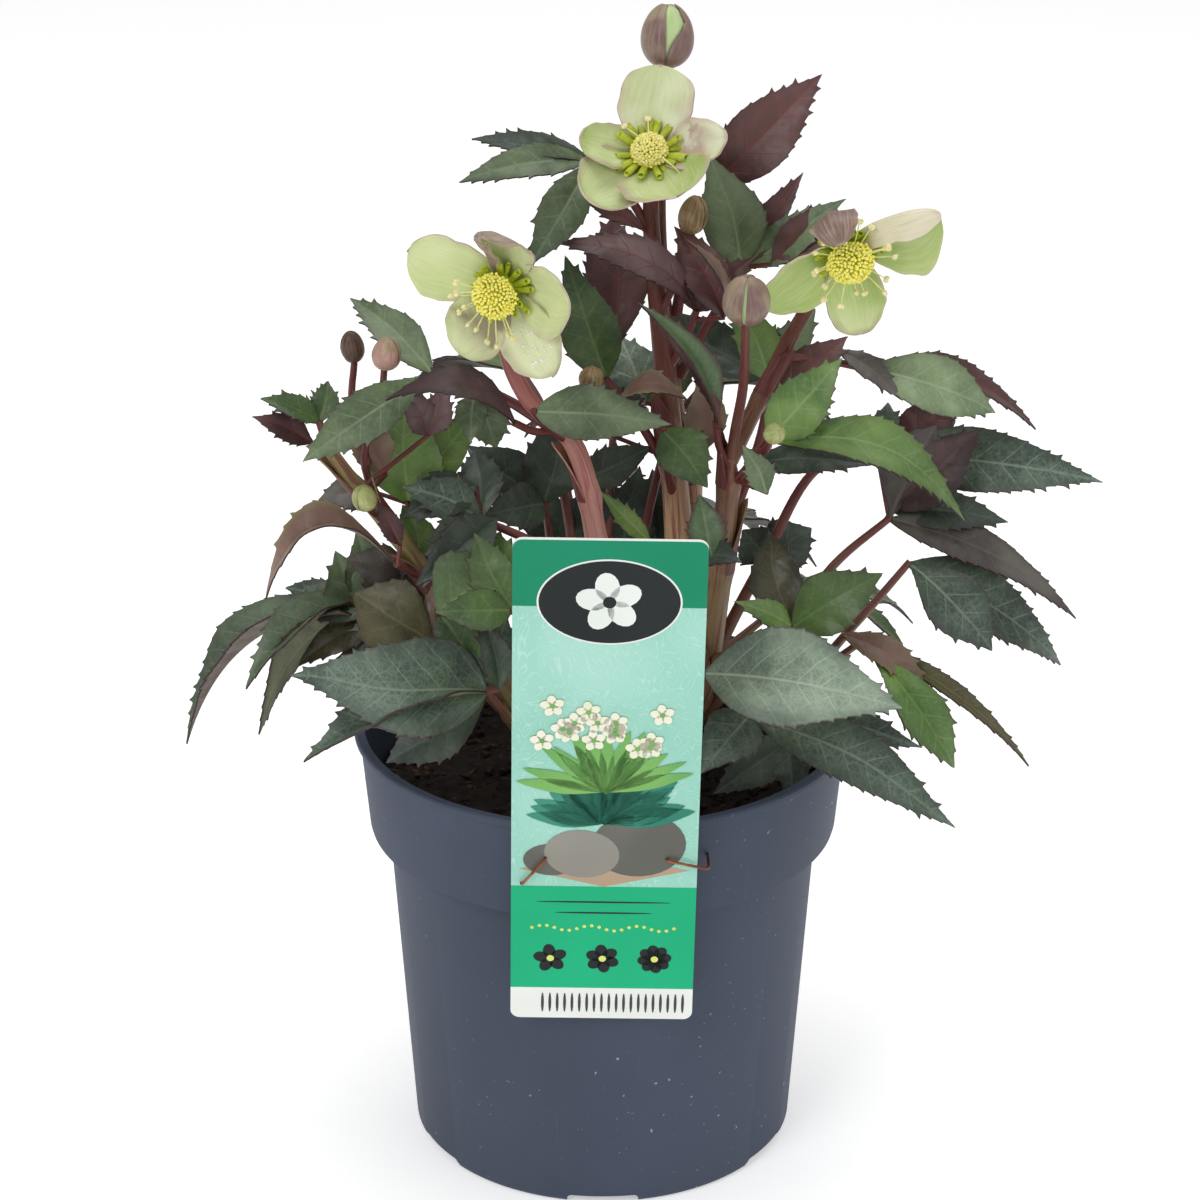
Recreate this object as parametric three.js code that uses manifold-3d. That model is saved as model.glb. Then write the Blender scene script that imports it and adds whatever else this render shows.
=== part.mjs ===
// A hellebore in bloom in its round nursery pot, with the care label stapled to the collar.
// Millimetres, +Z up. The origin is the centre of the pot's underside; the front is -Y.
import * as THREE from 'three';
import { mergeVertices } from 'three/addons/utils/BufferGeometryUtils.js';
import Module from 'manifold-3d';

// ---------------------------------------------------------------- driving sizes
const rimRadius = 70;            // a 14 cm trade pot
const potHeight = 125.7;
const collarHeight = 30.4;
const collarTopRadius = 68.5;
const collarFootRadius = 66.1;
const bodyTopRadius = 60.8;
const baseRadius = 54.5;
const rimBeadHeight = 2;
const potWall = 1.4;
const roundSides = 32;           // facets round the pot and the soil

const floorHeight = 2.6;         // raised ring of the floor, between the foot and the middle disc
const floorThickness = 1.8;
const footWidth = 8;
const middleDiscRadius = 16;
const drainHoleRadius = 4;
const drainHoleCount = 6;
const footNotchCount = 6;
const footNotchWidth = 20;

const soilTop = 108;
const crownRadius = 20;
const crownDepth = 26;

const labelSize = { width: 49.3, height: 149.2, thickness: 0.8, corner: 2.5 };
const labelFoot = { x: -0.45, z: 64.7 };
const labelLean = 7.4;           // degrees, the top forward
const labelTurn = 0.94;          // degrees, clockwise as seen from the front

const wireRadius = 0.4;
const gap = 0.3;                 // clearance between pieces that touch
const leafletThickness = 0.7;
const leafletFootHalf = 0.5;     // half the width of a leaflet where it meets the others
const leafletFold = 14;          // degrees that each half of a leaflet rises from the rib
const toothSpacing = 14.5;
const leafStalk = { startRadius: 2.1, endRadius: 1.4, shortOfHub: 1 };
const budStalk = { startRadius: 1.3, endRadius: 1 };

const sepalThickness = 0.8;
const sepalCup = 0.16;           // rise of a sepal's edge, as a share of its width
const receptacle = { backRadius: 2, frontRadius: 3, behind: 2.6, ahead: 0.6 };
const stamenCount = 12;
const antherSpread = 62;         // degrees from the bloom's axis to the outermost stamens
const nectaryCount = 7;
const nectarySpread = 58;        // degrees from the bloom's axis

const colours = {
  pot: 0x50565f, soil: 0x2a211b, label: 0x1d9d62, copper: 0xa8623a, stem: 0x7a4a3a,
  leaf: 0x3f5546, silver: 0x55695c, bright: 0x4f7a3c, purple: 0x4a2f33,
  sepal: 0xbccb8c, nectary: 0xc3d23a, stamen: 0xe6e07a, bud: 0x8a6f66, greenBud: 0x9fb560,
};

// ---------------------------------------------------------------- solids and meshes
const wasm = await Module();
wasm.setup();

/** A manifold-3d solid of a closed three.js geometry. */
function solidOf(geometry) {
  geometry.deleteAttribute('normal');
  geometry.deleteAttribute('uv');
  const merged = mergeVertices(geometry, 1e-4);
  return new wasm.Manifold(new wasm.Mesh({
    numProp: 3,
    vertProperties: new Float32Array(merged.attributes.position.array),
    triVerts: new Uint32Array(merged.index.array),
  }));
}

/** The three.js geometry of a solid. */
function geometryOf(solid) {
  const { vertProperties, triVerts } = solid.getMesh();
  const geometry = new THREE.BufferGeometry();
  geometry.setAttribute('position', new THREE.BufferAttribute(new Float32Array(vertProperties), 3));
  geometry.setIndex(new THREE.BufferAttribute(new Uint32Array(triVerts), 1));
  geometry.computeVertexNormals();
  return geometry;
}

const join = (solids) => solids.reduce((whole, piece) => whole.add(piece));
const vector = ([x, y, z]) => new THREE.Vector3(x, y, z);
const radians = THREE.MathUtils.degToRad;

const plant = new THREE.Group();

/** Adds a solid to the plant as a named mesh. */
function addPiece(name, solid, colour, roughness = 0.6, metalness = 0) {
  const material = new THREE.MeshStandardMaterial({ color: colour, roughness, metalness });
  const mesh = new THREE.Mesh(geometryOf(solid), material);
  mesh.name = name;
  plant.add(mesh);
  return mesh;
}

/** An indexed geometry from points and triangles of point numbers. */
function facetedGeometry(points, triangles) {
  const geometry = new THREE.BufferGeometry();
  geometry.setAttribute('position', new THREE.Float32BufferAttribute(points.flatMap((p) => p.toArray()), 3));
  geometry.setIndex(triangles.flat());
  return geometry;
}

/** A thin body: an upper face, the same face set down by its thickness, and the wall between. */
function thinBody(upper, lower, triangles, outline) {
  const below = upper.length;
  const faces = [];
  for (const [a, b, c] of triangles) {
    faces.push([a, b, c], [a + below, c + below, b + below]);
  }
  outline.forEach((a, i) => {
    const b = outline[(i + 1) % outline.length];
    faces.push([a + below, b + below, b], [a + below, b, a]);
  });
  return solidOf(facetedGeometry([...upper, ...lower], faces));
}

/** A round bar along a smooth curve through the points, tapering from one radius to the other. */
function taperedBar(points, startRadius, endRadius, sides, steps) {
  const curve = new THREE.CatmullRomCurve3(points, false, 'centripetal');
  const frames = curve.computeFrenetFrames(steps, false);
  const rings = [];
  for (let j = 0; j <= steps; j += 1) {
    const centre = curve.getPointAt(j / steps);
    const radius = THREE.MathUtils.lerp(startRadius, endRadius, j / steps);
    for (let i = 0; i < sides; i += 1) {
      const turn = (2 * Math.PI * i) / sides;
      rings.push(centre.clone()
        .addScaledVector(frames.normals[j], radius * Math.cos(turn))
        .addScaledVector(frames.binormals[j], radius * Math.sin(turn)));
    }
  }
  const startCentre = rings.push(curve.getPointAt(0)) - 1;
  const endCentre = rings.push(curve.getPointAt(1)) - 1;
  const faces = [];
  for (let i = 0; i < sides; i += 1) {
    const next = (i + 1) % sides;
    faces.push([startCentre, next, i]);
    faces.push([endCentre, steps * sides + i, steps * sides + next]);
    for (let j = 0; j < steps; j += 1) {
      const here = j * sides;
      const ahead = here + sides;
      faces.push([here + i, here + next, ahead + next], [here + i, ahead + next, ahead + i]);
    }
  }
  return solidOf(facetedGeometry(rings, faces));
}

/** A solid turned from a closed profile of [radius, height] pairs that begins and ends on the axis. */
function turned(profile, sides) {
  const outline = profile.map(([radius, height]) => new THREE.Vector2(radius, height));
  return solidOf(new THREE.LatheGeometry(outline, sides).rotateX(Math.PI / 2));
}

/** A standing cylinder with its middle at the point. */
function post(radius, height, sides, [x, y, z]) {
  const cylinder = new THREE.CylinderGeometry(radius, radius, height, sides);
  return solidOf(cylinder.rotateX(Math.PI / 2).translate(x, y, z));
}

// ---------------------------------------------------------------- pot and soil
/** Radius of the outside of the pot's body at a height below the collar. */
const bodyRadiusAt = (z) => (
  THREE.MathUtils.mapLinear(z, 0, potHeight - collarHeight, baseRadius, bodyTopRadius));

function makePot() {
  const collarFoot = potHeight - collarHeight;
  const floorTop = floorHeight + floorThickness;
  const profile = [
    [0, 0], [middleDiscRadius, 0], [middleDiscRadius + 2, floorHeight],
    [baseRadius - footWidth - 1, floorHeight], [baseRadius - footWidth, 0], [baseRadius - 2, 0],
    [bodyRadiusAt(2), 2], [bodyTopRadius, collarFoot - 1.5], [collarFootRadius - 1, collarFoot],
    [collarFootRadius, collarFoot + 1.5],
    [collarTopRadius, potHeight - rimBeadHeight - 1], [rimRadius, potHeight - rimBeadHeight],
    [rimRadius, potHeight - 0.4], [rimRadius - 0.6, potHeight], [collarTopRadius - potWall, potHeight],
    [collarFootRadius - potWall, collarFoot + 2.6], [bodyTopRadius - potWall, collarFoot - 0.4],
    [bodyRadiusAt(floorTop) - potWall, floorTop], [0, floorTop],
  ];
  const holes = [];
  for (let i = 0; i < drainHoleCount; i += 1) {
    const turn = (2 * Math.PI * (i + 0.5)) / drainHoleCount;
    const reach = (baseRadius - footWidth + middleDiscRadius) / 2 + 2;
    holes.push(post(drainHoleRadius, 12, 6, [reach * Math.cos(turn), reach * Math.sin(turn), 3]));
  }
  for (let i = 0; i < footNotchCount; i += 1) {
    const notch = new THREE.BoxGeometry(footNotchWidth, footWidth + 6, 2 * floorHeight);
    notch.translate(0, -(baseRadius - footWidth / 2 + 1), 0).rotateZ((2 * Math.PI * i) / footNotchCount);
    holes.push(solidOf(notch));
  }
  return turned(profile, roundSides).subtract(join(holes));
}

function makeSoil() {
  const collarFoot = potHeight - collarHeight;
  const floorTop = floorHeight + floorThickness;
  const clear = potWall + gap;
  const wallAtTop = THREE.MathUtils.mapLinear(
    soilTop, collarFoot + 2.6, potHeight - 1, collarFootRadius, collarTopRadius);
  const profile = [
    [0, floorTop + gap], [bodyRadiusAt(floorTop + gap) - clear, floorTop + gap],
    [bodyTopRadius - clear, collarFoot - 0.2], [collarFootRadius - clear - 0.2, collarFoot + 3.2],
    [wallAtTop - clear, soilTop - 2.5], [wallAtTop - clear - 4, soilTop], [0, soilTop],
  ];
  const crownHole = post(crownRadius + 2 * gap, 2 * (crownDepth + 2 * gap), 12, [0, 0, soilTop]);
  return turned(profile, roundSides).subtract(crownHole);
}

// ---------------------------------------------------------------- label and staples
/** The label's plane leans on the rim: this places a flat shape on it, x across and y up the label. */
function onLabel(geometry) {
  return geometry
    .rotateX(Math.PI / 2)
    .rotateY(radians(labelTurn))
    .rotateX(radians(labelLean))
    .translate(labelFoot.x, labelFaceY(labelFoot.z), labelFoot.z);
}

/** Y of the back of the label at a height: it rests on the rim, a gap away. */
const labelFaceY = (z) => -(rimRadius + gap) - Math.tan(radians(labelLean)) * (z - potHeight);

function makeLabel() {
  const { width, height, thickness, corner } = labelSize;
  const half = width / 2;
  const card = new THREE.Shape();
  card.moveTo(-half + corner, 0);
  card.lineTo(half - corner, 0).absarc(half - corner, corner, corner, -Math.PI / 2, 0);
  card.lineTo(half, height - corner).absarc(half - corner, height - corner, corner, 0, Math.PI / 2);
  card.lineTo(-half + corner, height).absarc(-half + corner, height - corner, corner, Math.PI / 2, Math.PI);
  card.lineTo(-half, corner).absarc(-half + corner, corner, corner, Math.PI, 1.5 * Math.PI);
  const sheet = new THREE.ExtrudeGeometry(card, { depth: thickness, bevelEnabled: false, curveSegments: 4 });
  return solidOf(onLabel(sheet));
}

// Each staple's crown runs between two [x, z] points in front of the label and its legs go back.
const staples = [
  { name: 'staple_left', ends: [[-21.6, 109], [-15.2, 117]] },
  { name: 'staple_right', ends: [[17, 116.6], [27.8, 114]] },
];

/** The staple's centre line: back through the collar, along the label's face and back again. */
function stapleLine([[leftX, leftZ], [rightX, rightZ]], margin) {
  const inside = (x) => -Math.sqrt(collarFootRadius ** 2 - x ** 2) + potWall + 1.5 + margin;
  const front = (z) => labelFaceY(z) - labelSize.thickness - 2 * gap - wireRadius;
  return [
    new THREE.Vector3(leftX, inside(leftX), leftZ),
    new THREE.Vector3(leftX, front(leftZ) + 0.5, leftZ),
    new THREE.Vector3(leftX + 0.5, front(leftZ), leftZ),
    new THREE.Vector3(rightX - 0.5, front(rightZ), rightZ),
    new THREE.Vector3(rightX, front(rightZ) + 0.5, rightZ),
    new THREE.Vector3(rightX, inside(rightX), rightZ),
  ];
}

/** A wire of one radius along a bent line. */
const bentWire = (line, radius) => taperedBar(line, radius, radius, 4, 14);

// ---------------------------------------------------------------- blooms and buds
// centre; the way the bloom faces; its sepals: [degrees round the centre from the right as seen
// from the front, length, width, degrees that the sepal rises from the bloom's plane]
const blooms = [
  {
    name: 'bloom_top', centre: [11, -6, 290], facing: [0.05, -0.74, 0.67],
    sepals: [[82, 25, 21, 16], [160, 20, 16, 18], [222, 19, 18, 14], [300, 19, 19, 16], [22, 26, 17, 14]],
  },
  {
    name: 'bloom_left', centre: [-28, -28, 261], facing: [-0.2, -0.95, 0.1],
    sepals: [[166, 26, 21, 14], [84, 17, 16, 6], [12, 21, 19, 20], [298, 26, 20, 16], [232, 23, 19, 18]],
  },
  {
    name: 'bloom_right', centre: [63, -22, 268], facing: [0.2, -0.93, 0.18],
    sepals: [[207, 24, 18, 14], [276, 23, 19, 16], [22, 27, 17, 14], [62, 18, 17, 8], [124, 18, 16, 10]],
  },
];

// centre, the way the tip points, radius, length, whether it is still green
const buds = [
  { name: 'bud_top', centre: [17, 11, 318], axis: [0.02, 0, 1],
    radius: 7, length: 17 },
  { name: 'bud_round', centre: [37, -35, 260], axis: [0.02, -0.25, 1],
    radius: 6.6, length: 14 },
  { name: 'bud_small_right', centre: [45, -35, 223.5], axis: [0.3, -0.8, 0.5],
    radius: 2.9, length: 6.4, green: true },
  { name: 'bud_under_top', centre: [24, -2, 273], axis: [0.2, -0.2, 1],
    radius: 4, length: 11, green: true },
  { name: 'bud_middle', centre: [-3, -27, 236], axis: [0.1, -0.5, 1],
    radius: 3.3, length: 7 },
  { name: 'bud_left_pink', centre: [-57, -19, 240], axis: [0.2, -0.1, 1],
    radius: 4, length: 9 },
  { name: 'bud_left_dark', centre: [-66.5, -13, 240], axis: [-0.1, -0.1, 1],
    radius: 3.2, length: 9 },
  { name: 'bud_left_low', centre: [-63, -34, 205], axis: [-0.2, -0.3, 0.9],
    radius: 3.3, length: 7.5, green: true },
];

/** The axes of a bloom: right and up as seen from the front, and out of its face. */
function bloomAxes({ facing }) {
  const out = vector(facing).normalize();
  const right = new THREE.Vector3(0, 0, 1).cross(out).normalize();
  return { out, right, up: out.clone().cross(right) };
}

/** One sepal: a rounded, cupped blade that starts at the middle of the bloom. */
function makeSepal(bloom, [turn, length, width, rise]) {
  const { out, right, up } = bloomAxes(bloom);
  const flat = right.clone().multiplyScalar(Math.cos(radians(turn)))
    .addScaledVector(up, Math.sin(radians(turn)));
  const along = flat.multiplyScalar(Math.cos(radians(rise)))
    .addScaledVector(out, Math.sin(radians(rise)));
  const face = out.clone().addScaledVector(along, -out.dot(along)).normalize();
  const side = face.clone().cross(along);
  const rows = 4;
  const columns = 2;
  const cup = sepalCup * width;
  const upper = [];
  const lower = [];
  for (let row = 0; row <= rows; row += 1) {
    const u = row / rows;
    const half = Math.max((width / 2) * Math.sin(Math.PI * u ** 1.15) ** 0.6, 1);
    for (let column = 0; column <= columns; column += 1) {
      const v = (2 * column) / columns - 1;
      const lift = cup * (0.6 * u ** 2 + ((2 * v * half) / width) ** 2);
      const point = vector(bloom.centre).addScaledVector(along, length * u)
        .addScaledVector(side, v * half).addScaledVector(face, lift);
      upper.push(point);
      lower.push(point.clone().addScaledVector(face, -sepalThickness));
    }
  }
  const triangles = [];
  const at = (row, column) => row * (columns + 1) + column;
  for (let row = 0; row < rows; row += 1) {
    for (let column = 0; column < columns; column += 1) {
      triangles.push([at(row, column), at(row + 1, column), at(row + 1, column + 1)]);
      triangles.push([at(row, column), at(row + 1, column + 1), at(row, column + 1)]);
    }
  }
  const outline = [];
  for (let column = columns; column > 0; column -= 1) outline.push(at(0, column));
  for (let row = 0; row < rows; row += 1) outline.push(at(row, 0));
  for (let column = 0; column < columns; column += 1) outline.push(at(rows, column));
  for (let row = rows; row > 0; row -= 1) outline.push(at(row, columns));
  return thinBody(upper, lower, triangles, outline);
}

/** Sepals grown together on the receptacle. */
function makeSepals(bloom) {
  const { out } = bloomAxes(bloom);
  const back = vector(bloom.centre).addScaledVector(out, -receptacle.behind);
  const front = vector(bloom.centre).addScaledVector(out, receptacle.ahead);
  const middle = taperedBar([back, front], receptacle.backRadius, receptacle.frontRadius, 8, 1);
  return join([middle, ...bloom.sepals.map((sepal) => makeSepal(bloom, sepal))]);
}

/** Turns and moves a geometry built round +Z so that it stands on a point and faces a direction. */
function placeFacing(geometry, point, out) {
  const turn = new THREE.Quaternion().setFromUnitVectors(new THREE.Vector3(0, 0, 1), out);
  return geometry.applyQuaternion(turn).translate(point.x, point.y, point.z);
}

/** Nectaries: a ring of small open-mouthed cones round the stamens. */
function makeNectaries(bloom) {
  const { out } = bloomAxes(bloom);
  const seat = vector(bloom.centre).addScaledVector(out, 2.4);
  const ring = new THREE.LatheGeometry([
    [3.2, 0], [4.6, 0], [4.6, 1], [3.2, 1], [3.2, 0]].map(([x, y]) => new THREE.Vector2(x, y)), nectaryCount);
  const solids = [solidOf(placeFacing(ring.rotateX(Math.PI / 2), seat, out))];
  for (let i = 0; i < nectaryCount; i += 1) {
    const cone = new THREE.CylinderGeometry(1.3, 0.7, 4.6, 4).translate(0, 2.3, 0);
    cone.rotateZ(-radians(nectarySpread)).translate(3.9, 0.6, 0);
    cone.rotateY((2 * Math.PI * (i + 0.5)) / nectaryCount);
    solids.push(solidOf(placeFacing(cone.rotateX(Math.PI / 2), seat, out)));
  }
  return join(solids);
}

/** Stamens: a core that fills the ring, with anthers on filaments that spread in a sunflower spiral. */
function makeStamens(bloom) {
  const { out } = bloomAxes(bloom);
  const seat = vector(bloom.centre).addScaledVector(out, 1.2);
  const core = new THREE.LatheGeometry([
    [0, 0], [2.6, 0], [2.6, 2.6], [4.4, 4.2], [4, 6.2], [2.2, 7.4], [0, 7.8],
  ].map(([x, y]) => new THREE.Vector2(x, y)), 8);
  const solids = [solidOf(placeFacing(core.rotateX(Math.PI / 2), seat, out))];
  for (let i = 0; i < stamenCount; i += 1) {
    const spread = radians(antherSpread * Math.sqrt((i + 0.5) / stamenCount));
    const turn = i * Math.PI * (3 - Math.sqrt(5));
    const anther = new THREE.CylinderGeometry(0.9, 0.4, 5.6, 3).translate(0, 3.6, 0);
    anther.rotateZ(-spread).translate(0, 3, 0).rotateY(turn);
    solids.push(solidOf(placeFacing(anther.rotateX(Math.PI / 2), seat, out)));
  }
  return join(solids);
}

/** A closed bud: an egg whose five sepals lap over each other in low steps. */
function makeBud({ centre, axis, radius, length }) {
  const rows = radius > 5 ? 6 : 4;
  const columns = 10;
  const points = [new THREE.Vector3(0, 0, -length / 2)];
  for (let row = 1; row < rows; row += 1) {
    const polar = (Math.PI * row) / rows;
    const swell = Math.sin(polar) * (1 + 0.12 * Math.cos(polar));
    for (let column = 0; column < columns; column += 1) {
      const turn = column / columns;
      const lap = 1 - 0.1 * ((turn * 5 + 0.25 * Math.cos(polar) + 1) % 1);
      const reach = radius * swell * lap;
      const angle = 2 * Math.PI * turn;
      const height = -(length / 2) * Math.cos(polar);
      points.push(new THREE.Vector3(reach * Math.cos(angle), reach * Math.sin(angle), height));
    }
  }
  const tip = points.push(new THREE.Vector3(0, 0, length / 2)) - 1;
  const at = (row, column) => 1 + (row - 1) * columns + (column % columns);
  const faces = [];
  for (let column = 0; column < columns; column += 1) {
    faces.push([0, at(1, column + 1), at(1, column)], [tip, at(rows - 1, column), at(rows - 1, column + 1)]);
    for (let row = 1; row < rows - 1; row += 1) {
      faces.push([at(row, column), at(row, column + 1), at(row + 1, column + 1)]);
      faces.push([at(row, column), at(row + 1, column + 1), at(row + 1, column)]);
    }
  }
  return solidOf(placeFacing(facetedGeometry(points, faces), vector(centre), vector(axis).normalize()));
}

/** Where the stalk of a bloom ends: a gap behind its receptacle. */
function bloomSeat(bloom) {
  return vector(bloom.centre).addScaledVector(bloomAxes(bloom).out, -receptacle.behind - gap);
}

/** The last stretch of a bloom's stalk: it comes in from behind, along the way the bloom faces. */
function bloomApproach(bloom) {
  const seat = bloomSeat(bloom);
  return [seat.clone().addScaledVector(bloomAxes(bloom).out, -6), seat].map((point) => point.toArray());
}

/** Where the stalk of a bud ends: a gap below its foot. */
function budSeat({ centre, axis, length }) {
  return vector(centre).addScaledVector(vector(axis).normalize(), -length / 2 - gap).toArray();
}

// ---------------------------------------------------------------- leaves
// hub: where the leaflets meet; stalk: the leaf stalk's route from its stem to the hub;
// leaflets: [tip, width, rise of the arch, degrees that the face leans from straight up to the front]
const leaves = [
  {
    name: 'leaf_crown_left', colour: 'leaf', hub: [-3, 4, 286],
    stalk: [[15, 2, 262], [7, 5, 276]],
    leaflets: [[[-35, 12, 290], 9, 2, 30], [[-38, -2, 282], 12, 3, 35], [[-19, -19, 264], 13, 3, 62]],
  },
  {
    name: 'bract_arch', colour: 'purple', hub: [25, -4, 247],
    stalk: [[17, 0, 228], [23, -2, 240]],
    leaflets: [[[-13, -10, 268], 14, 14, 46], [[20, -7, 268], 9, 2, 60], [[40, -4, 262], 10, 2, 60]],
  },
  {
    name: 'leaf_behind_bloom', colour: 'leaf', hub: [1, -2, 227],
    stalk: [[18, 0, 200], [9, -1, 216]],
    leaflets: [[[-10, -6, 263], 17, 3, 72], [[3, 22, 266], 18, 3, 65]],
  },
  {
    name: 'bract_top_right', colour: 'purple', hub: [29, 20, 274],
    stalk: [[20, 13, 240], [24, 18, 262]],
    leaflets: [[[59, 26, 304], 19, 3, 62]],
  },
  {
    name: 'leaf_top_right', colour: 'leaf', hub: [38, 12, 254],
    stalk: [[21, 12, 223], [31, 12, 242]],
    leaflets: [[[28.5, 8, 287], 18, 2, 75], [[54, 18, 279], 9, 1, 50], [[65, 10, 274], 12, 1, 55]],
  },
  {
    name: 'leaf_middle_arch', colour: 'leaf', hub: [30, -22, 222],
    stalk: [[34, -14, 206], [31, -18, 214]],
    leaflets: [[[9, -24, 256], 12, 7, 50]],
  },
  {
    name: 'leaf_middle_back', colour: 'bright', hub: [46, 12, 222],
    stalk: [[32, -8, 180], [43, 6, 206]],
    leaflets: [[[35, 9, 247], 13, 2, 70], [[58, 13, 242], 12, 2, 65], [[15, 30, 236], 15, 3, 60]],
  },
  {
    name: 'leaf_right_bright', colour: 'bright', hub: [44, -20, 216],
    stalk: [[34, -14, 200], [40, -17, 209]],
    leaflets: [[[63, -22, 240], 16, 3, 65], [[97, -26, 195], 16, 14, 32]],
  },
  {
    name: 'leaf_right_upper', colour: 'leaf', hub: [70, 2, 229],
    stalk: [[47, -8, 235], [57, -2, 233]],
    leaflets: [[[107, 2, 216], 18, 6, 55], [[121, 22, 204], 12, 7, 30]],
  },
  {
    name: 'leaf_right_far', colour: 'leaf', hub: [84, 20, 197],
    stalk: [[29, -4, 142], [44, 0, 172], [60, 8, 198]],
    leaflets: [[[139, 12, 192], 20, 6, 55], [[98, 26, 210], 16, 2, 60]],
  },
  {
    name: 'leaf_right_middle', colour: 'purple', hub: [79, 2, 185],
    stalk: [[26, -2, 125], [50, -3, 152], [64, 0, 172]],
    leaflets: [[[91, 4, 212], 21, 2, -60], [[132, 0, 156], 13, 8, 40]],
  },
  {
    name: 'leaf_right_low', colour: 'leaf', hub: [84, -6, 175],
    stalk: [[8, -4, 109], [45, -9, 130], [70, -8, 158]],
    leaflets: [[[107, -16, 153], 18, 5, 45], [[129, 4, 140], 20, 6, 42]],
  },
  {
    name: 'leaf_right_inner', colour: 'leaf', hub: [51, -30, 166],
    stalk: [[29, -6, 145], [40, -20, 156]],
    leaflets: [[[75, -30, 182], 18, 3, 60], [[35, -40, 178], 8, 2, 50], [[45, -14, 188], 15, 3, 70]],
  },
  {
    name: 'leaf_right_silver', colour: 'silver', hub: [27, -40, 157],
    stalk: [[4, -7, 109], [18, -30, 136]],
    leaflets: [[[79, -58, 153], 28, 5, 52]],
  },
  {
    name: 'leaf_right_bottom', colour: 'silver', hub: [40, -38, 144],
    stalk: [[6, -6, 109], [28, -29, 129]],
    leaflets: [[[26, -56, 135], 17, 3, 55], [[86, -44, 137], 13, 4, 52], [[94, -60, 121], 17, 6, 50]],
  },
  {
    name: 'leaf_pot_right', colour: 'leaf', hub: [51, -18, 126],
    stalk: [[8, -2, 109], [36, -10, 124]],
    leaflets: [[[30, -40, 121], 14, 2, 60], [[52, -34, 117], 13, 2, 60]],
  },
  {
    name: 'leaf_right_hanging', colour: 'bright', hub: [71, -14, 155],
    stalk: [[8, -4, 109], [45, -12, 129], [62, -13, 147]],
    leaflets: [[[96, -34, 126], 15, 8, 50], [[118, -22, 121], 7, 8, 35]],
  },
  {
    name: 'leaf_left_upper', colour: 'leaf', hub: [-45, -16, 233.5],
    stalk: [[-12, -21, 219], [-28, -15, 227]],
    leaflets: [[[-68, 3, 248.5], 12, 2, 45], [[-78, -44, 219], 14, 4, 55]],
  },
  {
    name: 'bract_left_arch', colour: 'purple', hub: [-23, -26, 223],
    stalk: [[-13, -21, 219], [-18, -24, 220]],
    leaflets: [[[-57, -30, 231], 11, 12, 22]],
  },
  {
    name: 'leaf_left_crest', colour: 'bright', hub: [-75, -24, 222.5],
    stalk: [[-65, -23, 203], [-72, -24, 213]],
    leaflets: [[[-90, -27, 230.5], 8, 2, 38], [[-73, -16, 231.5], 8, 1, 60]],
  },
  {
    name: 'bract_left_brown', colour: 'purple', hub: [-55, -29, 184],
    stalk: [[-48, -19, 175], [-52, -24, 180]],
    leaflets: [[[-90, -36, 184], 10, 13.5, 22]],
  },
  {
    name: 'leaf_left_bright', colour: 'bright', hub: [-53, -8, 193.5],
    stalk: [[-46, -18, 172], [-50, -11, 185]],
    leaflets: [[[-53, -7, 225], 23, 3, 72], [[-33, 2, 218], 13, 2, 60]],
  },
  {
    name: 'leaf_left_middle', colour: 'leaf', hub: [-33, -14, 191],
    stalk: [[-1, -17, 170], [-17, -16, 184]],
    leaflets: [[[-54, -20, 203], 13, 3, 50], [[-48, -36, 180], 14, 6, 50], [[-35, 3, 205], 13, 3, 68]],
  },
  {
    name: 'leaf_left_far', colour: 'leaf', hub: [-69, -10, 165],
    stalk: [[-22, -10, 126], [-47, -8, 152]],
    leaflets: [
      [[-116, -14, 124], 16, 19, 18], [[-97, -30, 148], 15, 6, 40], [[-88, -2, 166], 9, 2, 45],
      [[-93, -40, 139], 11, 6, 40],
    ],
  },
  {
    name: 'leaf_left_silver', colour: 'silver', hub: [-31, -42, 151],
    stalk: [[-4, -7, 109], [-21, -30, 134]],
    leaflets: [[[-83, -50, 157], 27, 6, 53], [[-79, -62, 141], 14, 5, 48], [[-59, -35, 128], 17, 2, 60]],
  },
  {
    name: 'leaf_left_inner', colour: 'leaf', hub: [-43, -30, 160],
    stalk: [[-24, -12, 134], [-35, -22, 148]],
    leaflets: [[[-67, -26, 174.5], 22, 3, 60], [[-46, -24, 176], 12, 2, 66]],
  },
  {
    name: 'leaf_left_label', colour: 'leaf', hub: [-24, -44, 177],
    stalk: [[-1, -20, 180], [-13, -34, 180]],
    leaflets: [[[-44, -50, 179], 12, 3, 60], [[-34, -36, 196], 13, 2, 66]],
  },
  {
    name: 'leaf_centre_front', colour: 'leaf', hub: [-18, -32, 228.5],
    stalk: [[-10, -22, 217], [-13, -27, 221]],
    leaflets: [[[18, -35, 226], 15, 3, 60]],
  },
  {
    name: 'leaf_centre_low', colour: 'bright', hub: [16, -14, 217],
    stalk: [[20, 0, 190], [17, -9, 207]],
    leaflets: [[[28, -24, 204], 15, 2, 62]],
  },
  {
    name: 'leaf_behind_left', colour: 'leaf', hub: [-16, 8, 187],
    stalk: [[-4, 2, 108], [-11, 5, 150]],
    leaflets: [[[-38, 14, 202], 17, 3, 66], [[-33, -6, 189], 14, 3, 62], [[-12, 18, 210], 19, 3, 70]],
  },
];

// The back of the plant: [degrees round the pot from +X, distance out, height of the hub]
const backLeaves = [
  [30, 60, 148], [64, 60, 162], [100, 58, 172], [146, 60, 154], [40, 36, 216], [84, 34, 204], [128, 36, 218],
];
const backLeafletTurns = [-44, 0, 44];      // degrees from the leaf's own direction
const stalkFoot = soilTop + 1;

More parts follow.
